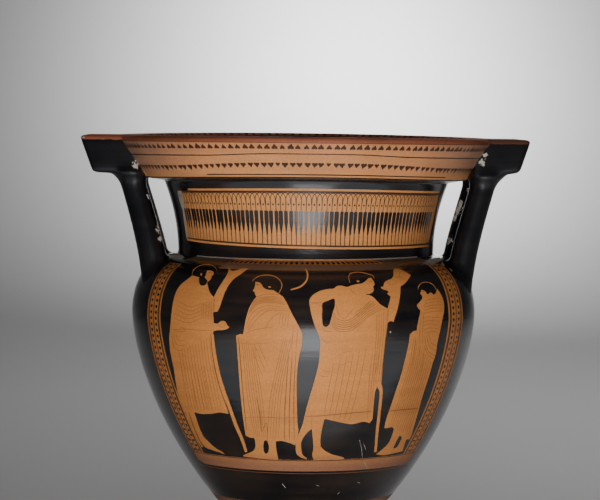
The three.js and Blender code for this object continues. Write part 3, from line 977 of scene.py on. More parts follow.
def draw_wear(paint, p):
    """The mended break, the rubbed places and the small chips; the pale patches at the handle roots are
    partly painted highlight, and the strip down the neck's left side is a painted highlight
    """
    paint.pens([
        [(304.8, 416.4), (318, 416), (332, 414.8), (352, 413), (372, 411.4)],
        [(388.6, 411), (400, 410), (417.6, 408.4)]], 1.1, "crack")
    paint.pen([(244.6, 417.4), (262, 417.2), (280, 418), (296.8, 417.6)], 0.8, "crack")
    paint.pen([(236.6, 343), (252, 344), (268, 343)], 0.35, "dilute")
    paint.blob((390.5, 332.2), 0.8, 1, "worn_and_highlight", 7)
    paint.pen([(359.4, 440), (361.6, 449), (362.4, 457)], 0.35, "worn_and_highlight")
    paint.pen([(363.6, 443), (365.8, 450)], 0.3, "worn_and_highlight")
    for line in ([(282, 483.6), (285.6, 488)], [(337.6, 494.4), (340, 491.6)], [(316, 485), (319, 486)],
                 [(357.6, 482.6), (360.4, 483)], [(364.6, 462), (367, 469)]):
        paint.pen(line, 0.6, "worn_and_highlight")
    # Pale patches: those at the handle roots are rubbed gloss and partly painted highlight
    worn_and_highlight_patches = (
        [(166.6, 255), (171, 253.4), (176, 253), (182, 255.4), (184, 258), (176, 258.6), (169, 258)],
        [(424, 263.4), (429, 259.4), (434.6, 258), (440, 257.6), (441, 260.4), (436, 263.4), (431, 265.4)],
        # These two strips down the neck's left side are a painted highlight
        [(177.6, 190.2), (181.6, 190.4), (184.4, 207.6), (182.6, 208)],
        [(182.4, 207), (183.8, 207), (187.2, 236), (186.2, 236)],
        [(441, 261.6), (443.6, 263), (444.6, 266), (442, 265)],
        [(449, 268), (452, 270), (451.6, 271.4)],
    )
    for patch in worn_and_highlight_patches:
        paint.soft_shape(patch, "worn_and_highlight")


def paint_pot(profile, sides):
    """Everything painted on the outside, in the order the painter laid it"""
    paint = Painting(profile, sides)
    draw_rays(paint, profile)
    draw_lip(paint, profile)
    for turn in (0.0, math.pi):
        paint.turn = turn
        draw_panel(paint, profile)
        draw_neck(paint, profile, -67.5, 70)
        if turn:
            draw_back_figures(paint)
        else:
            draw_speaker(paint)
            draw_listener(paint)
            draw_leaning_man(paint)
            draw_youth(paint)
            paint.pen([(305.4, 268.4), (307.6, 274), (306.4, 280.6), (300.4, 286.6),
                       (290.6, 289.8)], 1.7, "clay")
            draw_wear(paint, profile)
    paint.turn = 0.0
    return paint.mesh()


def hollow_profile(p):
    """The inside of the pot from the mouth down to the floor, beside its middle"""
    root = p.neck_root - p.s.wall
    narrow, flare, bulge = 110 * MM, 13.5 * MM, 44.5 * MM
    floor_radius, bowl_width, floor_level = 38 * MM, 116.5 * MM, 47 * MM
    line = [p.throat(t) for t in np.linspace(0.85, 0, 8)[1:]]
    line += [(narrow + flare * t * t, root + (p.neck_top - root) * t) for t in np.linspace(1, 0, 12)[1:]]
    for degrees in np.linspace(90, 0, 14)[1:]:
        across, up = shoulder_curve(degrees)
        line.append((narrow + bulge * across, p.belly + (root - p.belly) * up))
    for t in np.linspace(1, 0, 30)[1:]:
        across, down = bowl_curve(t)
        line.append((floor_radius + bowl_width * across, p.belly - (p.belly - floor_level) * down))
    return line + [(28 * MM, 43.5 * MM), (19 * MM, 41 * MM), (9 * MM, 39.6 * MM)]


def underside_profile():
    """The underside of the foot from the middle out to the resting ring"""
    return [(16 * MM, 12.4 * MM), (32 * MM, 11.5 * MM), (47.2 * MM, 10.4 * MM), (53 * MM, 6 * MM),
            (59 * MM, 0.5 * MM),
            (66 * MM, 0.0)]


def build_body(s):
    """The whole turned pot as one closed, painted mesh"""
    p = Profile(s)
    sides = s.turned_sides
    sheet, triangles, finish = paint_pot(p, sides)
    turn = sheet[:, 0] / UNROLL
    radius = np.interp(sheet[:, 1], p.along, p.radius)
    level = np.interp(sheet[:, 1], p.along, p.level)
    out = np.interp(sheet[:, 1], p.fine, p.normal_out)
    rise = np.interp(sheet[:, 1], p.fine, p.normal_up)
    points = np.stack((radius * np.sin(turn), -radius * np.cos(turn), level), -1)
    normals = np.stack((out * np.sin(turn), -out * np.cos(turn), rise), -1)
    place_u = 0.5 + 0.5 * np.array([panel_share(t) for t in turn])
    place_v = 0.25 + 0.745 * sheet[:, 1] / p.length
    uv = np.stack((place_u, place_v), -1)
    faces = [tuple(f) for f in triangles]
    face_uv = [[tuple(uv[i]) for i in f] for f in faces]
    points, normals = list(points), list(normals)
    turns = seam_angles(sides)

    def ring(radius, z, angles):
        """A ring of points without a turned normal; the number of its first point is given back"""
        start = len(points)
        for a in angles:
            points.append(np.array((radius * math.sin(a), -radius * math.cos(a), z)))
            normals.append(np.zeros(3))
        return start

    def lathe(line, angles, middle_level, finish_name, low, high):
        """Rings of faces through the line, closed by a single middle point"""
        rings = [ring(r, z, angles) for r, z in line]
        middle = ring(0.0, middle_level, [0.0])
        rows = np.linspace(low, high, len(rings) + 1)
        for j, start in enumerate(rings):
            for i in range(sides):
                u0, u1 = i / sides, (i + 1) / sides
                if j < len(rings) - 1:
                    after = rings[j + 1] + i
                    faces.append((start + i, start + i + 1, after + 1, after))
                    face_uv.append([(u0, rows[j]), (u1, rows[j]), (u1, rows[j + 1]), (u0, rows[j + 1])])
                else:
                    faces.append((start + i, start + i + 1, middle))
                    face_uv.append([(u0, rows[j]), (u1, rows[j]), ((u0 + u1) / 2, rows[j + 1])])
                finish.append(FINISHES.index(finish_name))

    mouth_edge, foot_edge = (p.radius[-1], p.level[-1]), (p.radius[0], 0.0)
    lathe([mouth_edge] + hollow_profile(p), turns, 39 * MM, "inside", 0.13, 0.24)
    lathe([foot_edge] + underside_profile()[::-1], turns[::-1], 13 * MM, "clay", 0.1, 0.125)
    mesh = bpy.data.meshes.new("krater")
    mesh.from_pydata([tuple(q) for q in points], [], faces)
    stored = mesh.attributes.new("turned_normal", "FLOAT_VECTOR", "POINT")
    stored.data.foreach_set("vector", np.array(normals, np.float32).ravel())
    mesh.polygons.foreach_set("material_index", np.array(finish, np.int32))
    layer = mesh.uv_layers.new(name="OFBake")
    flat = [c for f in face_uv for pair in f for c in pair]
    layer.data.foreach_set("uv", np.array(flat, np.float32))
    bm = bmesh.new()
    bm.from_mesh(mesh)
    bmesh.ops.remove_doubles(bm, verts=bm.verts, dist=6e-7)
    bm.normal_update()
    bm.to_mesh(mesh)
    bm.free()
    body = bpy.data.objects.new("krater_body", mesh)
    bpy.context.collection.objects.link(body)
    return body, p


def panel_share(turn):
    """Spreads the front picture over more of the flat layout than the back"""
    front = math.radians(70)
    if abs(turn) <= front:
        return 0.56 * turn / front + 0.18
    if turn > 0:
        return 0.74 + 0.26 * (turn - front) / (math.pi / 2 - front)
    return -0.38 - 0.62 * (-turn - front) / (1.5 * math.pi - front)


def build_core(s, p):
    """A closed body as wide as the middle of the shoulder's wall, to keep the handles out of the pot"""
    sides = 96
    line = [(150 * MM, p.belly - 40 * MM)]
    for degrees in np.linspace(0, 90, 16):
        across, up = shoulder_curve(degrees)
        line.append((112 * MM + 45 * MM * across, p.belly + (p.neck_root - s.wall + 2 * MM - p.belly) * up))
    points = [(r * math.sin(a), -r * math.cos(a), z) for r, z in line
              for a in np.linspace(0, 2 * math.pi, sides, endpoint=False)]
    faces = [tuple(range(sides))[::-1], tuple(range(len(points) - sides, len(points)))]
    for row in range(len(line) - 1):
        for i in range(sides):
            a, b = row * sides + i, row * sides + (i + 1) % sides
            faces.append((a, b, b + sides, a + sides))
    mesh = bpy.data.meshes.new("core")
    mesh.from_pydata(points, [], faces)
    core = bpy.data.objects.new("core", mesh)
    bpy.context.collection.objects.link(core)
    return core


def build_column(s, p, side, y, foot, lean, spread):
    """One leaning column, drawn out ring by ring from the shoulder into the plate"""
    bottom = p.rim_top - s.plate_thickness
    low = p.shoulder_level(foot + s.column_radius) - 14 * MM
    high = bottom + s.plate_thickness / 3
    steps = 22
    bare_selection()
    levels = np.linspace(low, high, steps + 1)
    t = (levels - low) / (high - low)
    centres = side * (foot + lean * t ** 1.6 + 2 * MM * np.sin(math.pi * t))
    flare = np.clip(1 - np.abs(bottom - levels) / (13 * MM), 0, 1)
    radii = s.column_radius + 7 * MM * flare ** 2 + spread * (1 - t) ** 2
    bpy.ops.mesh.primitive_circle_add(vertices=32, radius=radii[0], fill_type="NGON",
                                      location=(centres[0], y, low), enter_editmode=True)
    for i in range(steps):
        move = (centres[i + 1] - centres[i], 0, levels[i + 1] - levels[i])
        bpy.ops.mesh.extrude_region_move(TRANSFORM_OT_translate={"value": move})
        grow = radii[i + 1] / radii[i]
        bpy.ops.transform.resize(value=(grow, grow, 1))
    bpy.ops.mesh.select_all(action="SELECT")
    bpy.ops.mesh.normals_make_consistent(inside=False)
    bpy.ops.object.mode_set(mode="OBJECT")
    return bpy.context.object


def build_mound(p, side, y, foot):
    """The low mound of clay that a column stands on, most of it sunk under the shoulder"""
    mound_radius, sunk, outwards, probe = 23.5 * MM, 19 * MM, 4 * MM, 1 * MM
    bare_selection()
    root = math.hypot(foot, y) + outwards
    slope = (p.shoulder_level(root + probe) - p.shoulder_level(root)) / probe
    depth = Vector((-slope, 1)).normalized() * sunk
    bpy.ops.mesh.primitive_uv_sphere_add(
        segments=32, ring_count=16, radius=mound_radius,
        location=(side * (math.sqrt(root ** 2 - y ** 2) - depth.x), y, p.shoulder_level(root) - depth.y))
    return bpy.context.object


def build_plate(s, p, side, undercut, fall):
    """The flat plate of a handle, its outer face leaning in downwards"""
    bare_selection()
    bpy.ops.mesh.primitive_cube_add(size=1, location=(0, 0, 0), enter_editmode=True)
    cube = bmesh.from_edit_mesh(bpy.context.object.data)
    reach = p.rim_radius + s.plate_reach
    for v in cube.verts:
        top, far = v.co.z > 0, v.co.x > 0
        if far:
            x = reach + 0.5 * MM if top else reach - 9.6 * MM - undercut
        else:
            x = p.rim_radius - 22 * MM
        z = p.rim_top - 0.4 * MM if top else p.rim_top - s.plate_thickness - fall[0 if far else 1]
        half = s.plate_width / 2 - (1 * MM if far else 0)
        v.co = Vector((side * x, half * (1 if v.co.y > 0 else -1), z))
    bmesh.update_edit_mesh(bpy.context.object.data)
    bpy.ops.mesh.select_all(action="SELECT")
    bpy.ops.mesh.normals_make_consistent(inside=False)
    bpy.ops.mesh.bevel(offset=3 * MM, segments=3, affect="EDGES")
    bpy.ops.object.mode_set(mode="OBJECT")


def build_handle(s, p, core, side, inset, lean, spread, undercut, fall):
    """One handle: a plate level with the rim on two columns, with one skin and no part inside the pot"""
    foot = s.belly_radius - inset
    made = []
    for y in (-s.column_spacing / 2, s.column_spacing / 2):
        made.append(build_column(s, p, side, y, foot, lean, spread))
        made.append(build_mound(p, side, y, foot))
    build_plate(s, p, side, undercut, fall)
    for part in made:
        part.select_set(True)
    bpy.ops.object.join()
    handle = bpy.context.object
    bpy.ops.object.transform_apply(location=True, rotation=True, scale=True)
    remesh = handle.modifiers.new("skin", "REMESH")
    remesh.mode = "VOXEL"
    remesh.voxel_size = 2.2 * MM
    relax = handle.modifiers.new("relax", "SMOOTH")
    relax.factor = 0.5
    relax.iterations = 5
    hollow = handle.modifiers.new("hollow", "BOOLEAN")
    hollow.operation = "DIFFERENCE"
    hollow.solver = "MANIFOLD"
    hollow.object = core
    for name in ("skin", "relax", "hollow"):
        bpy.ops.object.modifier_apply(modifier=name)
    handle.data.materials.clear()
    handle.name = "handle_left" if side < 0 else "handle_right"
    return handle


def read_rows(items, key, width=3):
    """One property of many mesh items, as rows of numbers"""
    flat = np.empty(len(items) * width)
    items.foreach_get(key, flat)
    return flat.reshape(-1, width)


def read_whole(items, key):
    """One whole number of each of many mesh items"""
    flat = np.empty(len(items), np.int32)
    items.foreach_get(key, flat)
    return flat


def finish_mesh(body, s, p):
    """Droops the rim, then gives the turned part its true normals"""
    mesh = body.data
    points = read_rows(mesh.vertices, "co")
    stored = read_rows(mesh.attributes["turned_normal"].data, "vector")
    turned = np.hypot(np.hypot(stored[:, 0], stored[:, 1]), stored[:, 2]) > 0.9
    points[turned, 0] += neck_swell(p, points[turned])
    points[:, 2] -= sink(s, points, p)
    mesh.vertices.foreach_set("co", points.ravel())
    mesh.update()
    own = read_rows(mesh.corner_normals, "vector")
    loops = read_whole(mesh.loops, "vertex_index")
    handle = read_whole(mesh.attributes["handle"].data, "value")
    loop_handle = np.repeat(handle, read_whole(mesh.polygons, "loop_total")) > 0
    near_handle = np.zeros(len(points), bool)
    near_handle[loops[loop_handle]] = True
    use = turned[loops] & ~loop_handle & ~near_handle[loops]
    own[use] = stored[loops[use]]
    mesh.normals_split_custom_set([tuple(n) for n in own])


def neck_swell(p, points):
    """How far the neck stands out more on the right than a true circle would"""
    radius = np.hypot(points[:, 0], points[:, 1])
    share = np.clip((points[:, 0] / np.maximum(radius, 1 * MM) - 0.5) / 0.5, 0, 1) ** 1.5
    root = np.clip((129 * MM - radius) / (7 * MM), 0, 1)
    top = np.clip((147 * MM - radius) / (13 * MM), 0, 1)
    level = points[:, 2]
    wide = np.where(level < p.neck_root + 1 * MM, root, np.where(level > p.neck_top - 1 * MM, top, 1.0))
    wide = np.where((level > p.neck_root - 6 * MM) & (level < p.lip_bottom - 1 * MM), wide, 0.0)
    return 3.8 * MM * share * wide


def mark_faces(thing, is_handle):
    """Gives a mesh the row of finishes, and marks its faces as a handle's or not"""
    for name in FINISHES:
        thing.data.materials.append(bpy.data.materials["krater_" + name])
    tag = thing.data.attributes.new("handle", "INT", "FACE")
    tag.data.foreach_set("value", np.full(len(thing.data.polygons), int(is_handle), np.int32))


class MakeKrater(Operator):
    """Builds the painted pot and its handles as one closed piece"""
    bl_idname = "krater.make_pot"
    bl_label = "Make the krater"

    def execute(self, context):
        s = context.scene.krater_sizes
        bare_selection()
        body, p = build_body(s)
        core = build_core(s, p)
        handles = [build_handle(s, p, core, -1, 24 * MM, 29 * MM, 2 * MM, 2.6 * MM, (1.2 * MM, 3 * MM)),
                   build_handle(s, p, core, 1, 19 * MM, 29 * MM, 1 * MM, 0.6 * MM, (-2.4 * MM, 3.4 * MM))]
        bpy.data.objects.remove(core)
        mark_faces(body, False)
        for number, handle in enumerate(handles):
            mark_faces(handle, True)
            slots = np.full(len(handle.data.polygons), FINISHES.index("handle"), np.int32)
            handle.data.polygons.foreach_set("material_index", slots)
            lay_out_handle(handle, number)
        bare_selection()
        bpy.context.view_layer.objects.active = body
        body.select_set(True)
        for handle in handles:
            join = body.modifiers.new("join", "BOOLEAN")
            join.operation = "UNION"
            join.solver = "MANIFOLD"
            join.object = handle
            bpy.ops.object.modifier_apply(modifier="join")
            bpy.data.objects.remove(handle)
        if not body.data.polygons:
            raise RuntimeError("the pot and its handles could not be joined")
        for face in body.data.polygons:
            face.use_smooth = True
        finish_mesh(body, s, p)
        body.name = "krater_pot"
        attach(body, "root")
        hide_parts("krater")
        return {"FINISHED"}


def lay_out_handle(handle, number):
    """Unwraps a handle into its own corner of the flat layout"""
    bare_selection()
    bpy.context.view_layer.objects.active = handle
    handle.select_set(True)
    if not handle.data.uv_layers:
        handle.data.uv_layers.new(name="OFBake")
    handle.data.uv_layers[0].name = "OFBake"
    bpy.ops.object.mode_set(mode="EDIT")
    bpy.ops.mesh.select_all(action="SELECT")
    bpy.ops.uv.smart_project(angle_limit=1.15, island_margin=0.01)
    bpy.ops.object.mode_set(mode="OBJECT")
    layer = handle.data.uv_layers["OFBake"]
    flat = read_rows(layer.data, "uv", 2) * (0.48, 0.09) + (0.01 + 0.5 * number, 0.004)
    layer.data.foreach_set("uv", flat.ravel())


def group_of(name, build):
    """A shader node group, made once"""
    if name in bpy.data.node_groups:
        return bpy.data.node_groups[name]
    tree = bpy.data.node_groups.new(name, "ShaderNodeTree")
    build(tree)
    return tree


def fill_inputs(tree, node, values):
    """Each named input takes a value, or a link where the value is another node's output"""
    for key, value in values.items():
        if isinstance(value, bpy.types.NodeSocket):
            tree.links.new(value, node.inputs[key])
        else:
            node.inputs[key].default_value = value


def add_node(tree, kind, values=None, **settings):
    """A node with its settings and its inputs"""
    made = tree.nodes.new(kind)
    for key, value in settings.items():
        setattr(made, key, value)
    fill_inputs(tree, made, values or {})
    return made


def sum_node(tree, operation, *values):
    """The result of one sum"""
    return add_node(tree, "ShaderNodeMath", dict(enumerate(values)), operation=operation).outputs[0]


def range_node(tree, value, low, high, to_low=0.0, to_high=1.0):
    """A value spread from one range over another, and held at its ends"""
    return add_node(tree, "ShaderNodeMapRange", {
        "Value": value, "From Min": low, "From Max": high, "To Min": to_low, "To Max": to_high}).outputs[0]


def noise_node(tree, place, scale, detail):
    """Soft noise from 0 to 1"""
    made = add_node(tree, "ShaderNodeTexNoise", {"Vector": place, "Scale": scale, "Detail": detail})
    return made.outputs["Fac"]


def blend(tree, first, second, mask):
    """A colour that turns into another where the mask is on"""
    pair = [c if isinstance(c, bpy.types.NodeSocket) else (*c, 1) for c in (first, second)]
    return add_node(tree, "ShaderNodeMix", {"Factor": mask, 6: pair[0], 7: pair[1]},
                    data_type="RGBA").outputs[2]


def multiply(tree, colour, factor):
    """A colour darkened or tinted by a second one"""
    return add_node(tree, "ShaderNodeMix", {0: 1.0, 6: colour, 7: factor},
                    data_type="RGBA", blend_type="MULTIPLY").outputs[2]


def group_ends(tree, results, kind="NodeSocketFloat"):
    """The group's sockets: a place goes in, and the named masks or colours come out"""
    tree.interface.new_socket("Place", in_out="INPUT", socket_type="NodeSocketVector")
    for name in results:
        tree.interface.new_socket(name, in_out="OUTPUT", socket_type=kind)
    return add_node(tree, "NodeGroupInput").outputs[0], add_node(tree, "NodeGroupOutput")


def build_streaks(tree):
    """Faint streaks round the pot, as a wheel and a wide brush leave them"""
    place, end = group_ends(tree, ("Streaks", "Clouds", "Grain"))
    stretched = add_node(tree, "ShaderNodeMapping", {"Vector": place, "Scale": (7, 7, 150)}).outputs[0]
    fill_inputs(tree, end, {
        "Streaks": noise_node(tree, stretched, 1.0, 5.0),
        "Clouds": noise_node(tree, place, 22.0, 4.0),
        "Grain": noise_node(tree, place, 650.0, 3.0)})


# The clay's tint at some heights in metres, darker low on the body partly as painted shade, and the height of
# the whole ramp
CLAY_TINT_AND_SHADE = (
    (0.06, (0.46, 0.53, 1.15)), (0.118, (0.46, 0.56, 1.25)), (0.131, (0.84, 0.92, 1.08)),
    (0.21, (0.93, 0.96, 1.04)), (0.3, (0.94, 0.98, 1.06)), (0.335, (1.02, 1.2, 1.65)),
    (0.378, (1.02, 1.2, 1.65)), (0.386, (1.08, 1.24, 1.98)), (0.403, (1.03, 1.2, 2.0)),
    (0.413, (0.88, 1.0, 1.75)),
)
CLAY_TINT_TOP = 0.42


def build_tint_and_shade(tree):
    """The clay's tint by height, partly painted shade: darker and redder near the foot, paler on the lip but
    for its sides, which get painted shade
    """
    place, end = group_ends(tree, ("Tint",), "NodeSocketColor")
    parts = add_node(tree, "ShaderNodeSeparateXYZ", {0: place})
    share = range_node(tree, parts.outputs["Z"], 0.0, CLAY_TINT_TOP)
    ramp = add_node(tree, "ShaderNodeValToRGB", {"Fac": share})
    marks = ramp.color_ramp.elements
    while len(marks) < len(CLAY_TINT_AND_SHADE):
        marks.new(0.5)
    for mark, (level, tint) in zip(marks, CLAY_TINT_AND_SHADE):
        mark.position = level / CLAY_TINT_TOP
        mark.color = (*tint, 1)
    # Painted shade: the lip turns darker and greyer towards its sides
    side = range_node(tree, sum_node(tree, "ABSOLUTE", parts.outputs["X"]), 0.09, 0.16)
    lip = range_node(tree, parts.outputs["Z"], 0.379, 0.385)
    painted_side_shade = blend(tree, (1, 1, 1), (0.56, 0.68, 1.05), sum_node(tree, "MULTIPLY", side, lip))
    fill_inputs(tree, end, {"Tint": multiply(tree, ramp.outputs["Color"], painted_side_shade)})


# Small chips on the handles: place and size
CHIPS = (
    (-0.1368, -0.0374, 0.3319, 0.0032), (-0.1377, -0.042, 0.3283, 0.002), (-0.1353, -0.0411, 0.3215, 0.0026),
    (-0.1468, -0.0412, 0.3605, 0.0018), (-0.1575, -0.05, 0.3899, 0.0032), (-0.2077, -0.05, 0.4164, 0.0022),
    (0.1509, 0.0285, 0.3526, 0.003), (0.1496, 0.0283, 0.3483, 0.0036), (0.1485, 0.0287, 0.3448, 0.0036),
    (0.1461, 0.0298, 0.3387, 0.0028), (0.1415, 0.0279, 0.3172, 0.0034), (0.1583, 0.0249, 0.3655, 0.002),
    (0.1668, -0.0498, 0.4004, 0.002), (0.164, -0.0498, 0.3935, 0.0026), (-0.1215, -0.04, 0.3068, 0.006),
    (0.1235, -0.04, 0.3051, 0.0065),
)


def build_chips(tree):
    """Two masks for the handles: small chips, and the rubbed upper edge of the plates"""
    place, end = group_ends(tree, ("Chips", "Edge"))
    ragged = range_node(tree, noise_node(tree, place, 480.0, 5.0), 0.0, 1.0, -0.006, 0.006)
    deepest = None
    for x, y, z, size in CHIPS:
        away = add_node(tree, "ShaderNodeVectorMath", {0: place, 1: (x, y, z)}, operation="DISTANCE")
        inside = sum_node(tree, "SUBTRACT", size, away.outputs["Value"])
        deepest = inside if deepest is None else sum_node(tree, "MAXIMUM", deepest, inside)
    chips = range_node(tree, sum_node(tree, "ADD", deepest, ragged), -0.0003, 0.0003)
    parts = add_node(tree, "ShaderNodeSeparateXYZ", {0: place})
    # The plates rise a little to the left, so the level is counted from the leaning rim
    level = sum_node(tree, "MULTIPLY_ADD", parts.outputs["X"], 0.0066, parts.outputs["Z"])
    level = sum_node(tree, "MULTIPLY_ADD", ragged, 0.25, level)
    strength = range_node(tree, parts.outputs["X"], -0.15, 0.15, 0.9, 0.35)
    edge = range_node(tree, level, 0.4118, 0.4126, 0.0, strength)
    fill_inputs(tree, end, {"Chips": chips, "Edge": edge})


def group_node(tree, name, build, place):
    """The outputs of a shared group, fed with the object's own coordinates"""
    node = add_node(tree, "ShaderNodeGroup", node_tree=group_of(name, build))
    tree.links.new(place, node.inputs["Place"])
    return node.outputs


def make_material(name, colour, second, roughness, bump, specular=0.5, coat=0.0, height_tint_and_shade=False, chipped=None):
    """A pottery surface: two near colours mixed by streaks and clouds, with a fine grain"""
    material = bpy.data.materials.new("krater_" + name)
    material.use_nodes = True
    tree = material.node_tree
    place = add_node(tree, "ShaderNodeTexCoord").outputs["Object"]
    streaks = group_node(tree, "krater_streaks", build_streaks, place)
    total = sum_node(tree, "ADD", streaks["Streaks"], streaks["Clouds"])
    shown = blend(tree, colour, second, range_node(tree, total, 0.8, 1.25))
    shown = multiply(tree, shown, range_node(tree, streaks["Grain"], 0.3, 0.7, 0.86, 1.1))
    # The tint by height includes painted shade low on the body and on the lip's sides
    if height_tint_and_shade:
        shown = multiply(tree, shown, group_node(tree, "krater_tint_and_shade", build_tint_and_shade, place)["Tint"])
    dull = range_node(tree, streaks["Clouds"], 0.3, 0.7, *roughness)
    if chipped:
        chips = group_node(tree, "krater_chips", build_chips, place)
        shown = blend(tree, shown, chipped[0], chips["Edge"])
        shown = blend(tree, shown, chipped[1], chips["Chips"])
        either = sum_node(tree, "MAXIMUM", chips["Edge"], chips["Chips"])
        dull = sum_node(tree, "MULTIPLY_ADD", either, 0.4, dull)
        coat = range_node(tree, either, 0.0, 1.0, coat, 0.0)
    height = sum_node(tree, "MULTIPLY_ADD", streaks["Grain"], 0.25, total)
    relief = add_node(tree, "ShaderNodeBump", {"Strength": bump, "Distance": 0.0008, "Height": height})
    fill_inputs(tree, tree.nodes["Principled BSDF"], {
        "Base Color": shown, "Roughness": dull, "Specular IOR Level": specular, "Coat Weight": coat,
        "Coat Roughness": 0.25, "Normal": relief.outputs[0]})


def shade(colour, factor):
    """The same colour, darker or lighter"""
    return tuple(min(1.0, c * factor) for c in colour)


class MakeFinishes(Operator):
    """Makes the pottery materials"""
    bl_idname = "krater.make_finishes"
    bl_label = "Make the finishes"

    def execute(self, context):
        c = context.scene.krater_colours
        brown_gloss = (0.022, 0.014, 0.01)
        make_material("gloss", c.gloss, brown_gloss, (0.12, 0.22), 0.4, 0.5, 0.6)
        make_material("clay", c.clay, shade(c.clay, 0.84), (0.42, 0.55), 0.12, 0.22, 0.06, height_tint_and_shade=True)
        make_material("line", c.line, shade(c.line, 0.6), (0.4, 0.5), 0.1)
        make_material("dilute", c.dilute, shade(c.dilute, 0.85), (0.42, 0.55), 0.1, 0.4)
        make_material("rust", c.rust, shade(c.rust, 0.7), (0.42, 0.55), 0.1, 0.4)
        make_material("red", c.red, shade(c.red, 0.6), (0.45, 0.6), 0.2, 0.4)
        # The pale colour of rubbed gloss, also used for painted highlights
        make_material("worn_and_highlight", c.worn_and_highlight, shade(c.worn_and_highlight, 0.5), (0.6, 0.8), 0.4, 0.3)
        make_material("crack", c.crack, shade(c.crack, 0.7), (0.6, 0.7), 0.3, 0.3)
        make_material("wash", c.wash, shade(c.wash, 0.7), (0.35, 0.5), 0.15, 0.4)
        make_material("inside", shade(c.gloss, 1.4), (0.03, 0.02, 0.015), (0.3, 0.5), 0.2)
        make_material("handle", c.gloss, (0.009, 0.008, 0.009), (0.28, 0.4), 0.4, 0.4, 0.12,
                      chipped=(tuple(c.red), tuple(c.worn_and_highlight)))
        return {"FINISHED"}


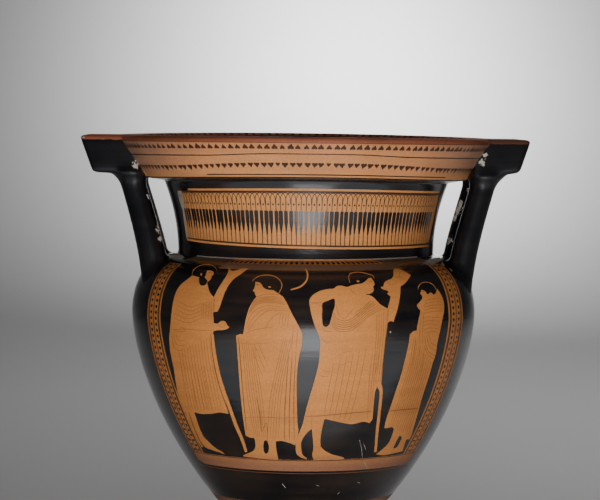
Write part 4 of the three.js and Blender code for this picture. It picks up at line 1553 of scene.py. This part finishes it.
class MakeStage(Operator):
    """Sets up the pale floor, the lights and the camera"""
    bl_idname = "krater.make_stage"
    bl_label = "Make the stage"

    def execute(self, context):
        bare_selection()
        bpy.ops.mesh.primitive_grid_add(x_subdivisions=2, y_subdivisions=84, size=1)
        floor = context.object
        floor.name = "floor"
        bend = 1.2
        front, back, top = -6.0, 1.6, 4.0
        arc = bend * math.pi / 2
        for v in floor.data.vertices:
            along = (v.co.y + 0.5) * (back - front + arc + top)
            x = v.co.x * 9
            if along < back - front:
                v.co = Vector((x, front + along, 0))
            elif along < back - front + arc:
                a = (along - (back - front)) / bend
                v.co = Vector((x, back + bend * math.sin(a), bend - bend * math.cos(a)))
            else:
                v.co = Vector((x, back + bend, bend + along - (back - front) - arc))
        for face in floor.data.polygons:
            face.use_smooth = True
        paper = bpy.data.materials.new("floor_paper")
        paper.use_nodes = True
        tree = paper.node_tree
        shader = tree.nodes["Principled BSDF"]
        fill_inputs(tree, shader, {"Base Color": (0.62, 0.62, 0.625, 1), "Roughness": 0.9})
        # From behind, the paper is clear, so that it never hides the pot
        behind = add_node(tree, "ShaderNodeNewGeometry").outputs["Backfacing"]
        clear = add_node(tree, "ShaderNodeBsdfTransparent")
        either = add_node(tree, "ShaderNodeMixShader", {0: behind, 1: shader.outputs[0], 2: clear.outputs[0]})
        tree.links.new(either.outputs[0], tree.nodes["Material Output"].inputs["Surface"])
        floor.data.materials.append(paper)
        # Name, place, aim, width, height, power, spread in degrees, colour, and what the light reaches:
        # "all" things, the pot only, or only the mirror images in the gloss
        lights = (
            ("front_fill", (0.1, -3.0, 0.9), (0, 0, 0.26), 1.5, 1.2, 1.7, 44, (1, 0.97, 0.93), "all"),
            ("near_fill", (-0.04, -0.72, 0.12), (0, 0, 0.3), 0.3, 0.3, 5.0, 180, (1, 0.97, 0.93), "pot"),
            ("table_glow", (0.05, -0.98, 0.01), (0.05, -0.98, 1), 0.36, 0.8, 3.7, 180,
             (0.92, 0.95, 1), "mirror"),
            ("near_glow", (0.05, -0.44, 0.012), (0.05, -0.44, 1), 0.3, 0.28, 0.22, 180,
             (0.92, 0.95, 1), "mirror"),
            ("table_sheen", (0.0, -0.8, 0.005), (0.0, -0.8, 1), 1.5, 1.2, 2.9, 180, (0.8, 0.93, 1), "mirror"),
            ("top_fill", (0.6, -0.2, 2.9), (0.5, 0, 0), 2.0, 2.0, 2.3, 180, (1, 1, 1), "all"),
            ("floor_wash", (0.62, 1.05, 2.4), (0.5, 1.0, 0), 2.4, 1.2, 5.6, 70, (1, 1, 1), "all"),
            ("backdrop_pool", (0.18, 2.15, 0.82), (0.2, 2.588, 0.519), 0.25, 0.25, 9.2, 146,
             (1, 1, 1), "all"),
            ("rear_left", (-1.0, 1.75, 1.0), (0, 0, 0.25), 0.8, 0.8, 34, 180, (1, 0.98, 0.96), "pot"),
            ("rear_right", (1.0, 1.75, 1.0), (0, 0, 0.25), 0.8, 0.8, 34, 180, (1, 0.98, 0.96), "pot"),
        )
        only_pot = bpy.data.collections.new("lit_pot")
        only_pot.objects.link(bpy.data.objects["krater_pot"])
        for name, spot, aim, wide, high, power, spread, tone, reach in lights:
            bpy.ops.object.light_add(type="AREA", location=spot)
            lamp = context.object
            lamp.name = name
            lamp.data.shape = "RECTANGLE"
            lamp.data.size = wide
            lamp.data.size_y = high
            lamp.data.energy = power
            lamp.data.spread = math.radians(spread)
            lamp.data.color = tone
            lamp.visible_glossy = reach == "mirror"
            lamp.visible_diffuse = reach != "mirror"
            if reach == "pot":
                lamp.light_linking.receiver_collection = only_pot
            lamp.visible_camera = False
            lamp.rotation_euler = (Vector(aim) - Vector(spot)).to_track_quat("-Z", "Y").to_euler()
        world = bpy.data.worlds.new("studio")
        world.use_nodes = True
        background = world.node_tree.nodes["Background"]
        fill_inputs(world.node_tree, background, {"Color": (0.75, 0.77, 0.8, 1), "Strength": 0.05})
        context.scene.world = world
        camera_data = bpy.data.cameras.new("camera")
        camera = bpy.data.objects.new("camera", camera_data)
        context.collection.objects.link(camera)
        camera_data.sensor_width = 36
        camera_data.lens = 36 * FOCAL / SHEET_WIDTH
        camera_data.clip_end = 50
        forward, right, up = view_axes()
        aimed = Matrix((right, up, -forward)).transposed().to_4x4()
        aimed.translation = EYE
        camera.matrix_world = aimed
        context.scene.camera = camera
        return {"FINISHED"}


class KraterPanel(Panel):
    """Sizes, colours and buttons for the krater"""
    bl_idname = "VIEW3D_PT_krater"
    bl_label = "Greek column krater"
    bl_space_type = "VIEW_3D"
    bl_region_type = "UI"
    bl_category = "Krater"

    def draw(self, context):
        for group in (context.scene.krater_sizes, context.scene.krater_colours):
            for key in group.bl_rna.properties.keys():
                if key not in ("rna_type", "name"):
                    self.layout.prop(group, key)
        for operator in (MakeFinishes, MakeKrater, MakeStage):
            self.layout.operator(operator.bl_idname)


CLASSES = (KraterSizes, KraterColours, MakeFinishes, MakeKrater, MakeStage, KraterPanel)


def register():
    """Adds the krater's sizes, operators and panel"""
    for item in CLASSES:
        bpy.utils.register_class(item)
    bpy.types.Scene.krater_sizes = PointerProperty(type=KraterSizes)
    bpy.types.Scene.krater_colours = PointerProperty(type=KraterColours)


def unregister():
    """Takes them away again"""
    del bpy.types.Scene.krater_colours
    del bpy.types.Scene.krater_sizes
    for item in reversed(CLASSES):
        bpy.utils.unregister_class(item)


def main():
    """Builds everything in order"""
    register()
    bpy.ops.krater.make_finishes()
    bpy.ops.krater.make_pot()
    bpy.ops.krater.make_stage()


if __name__ == "__main__":
    main()
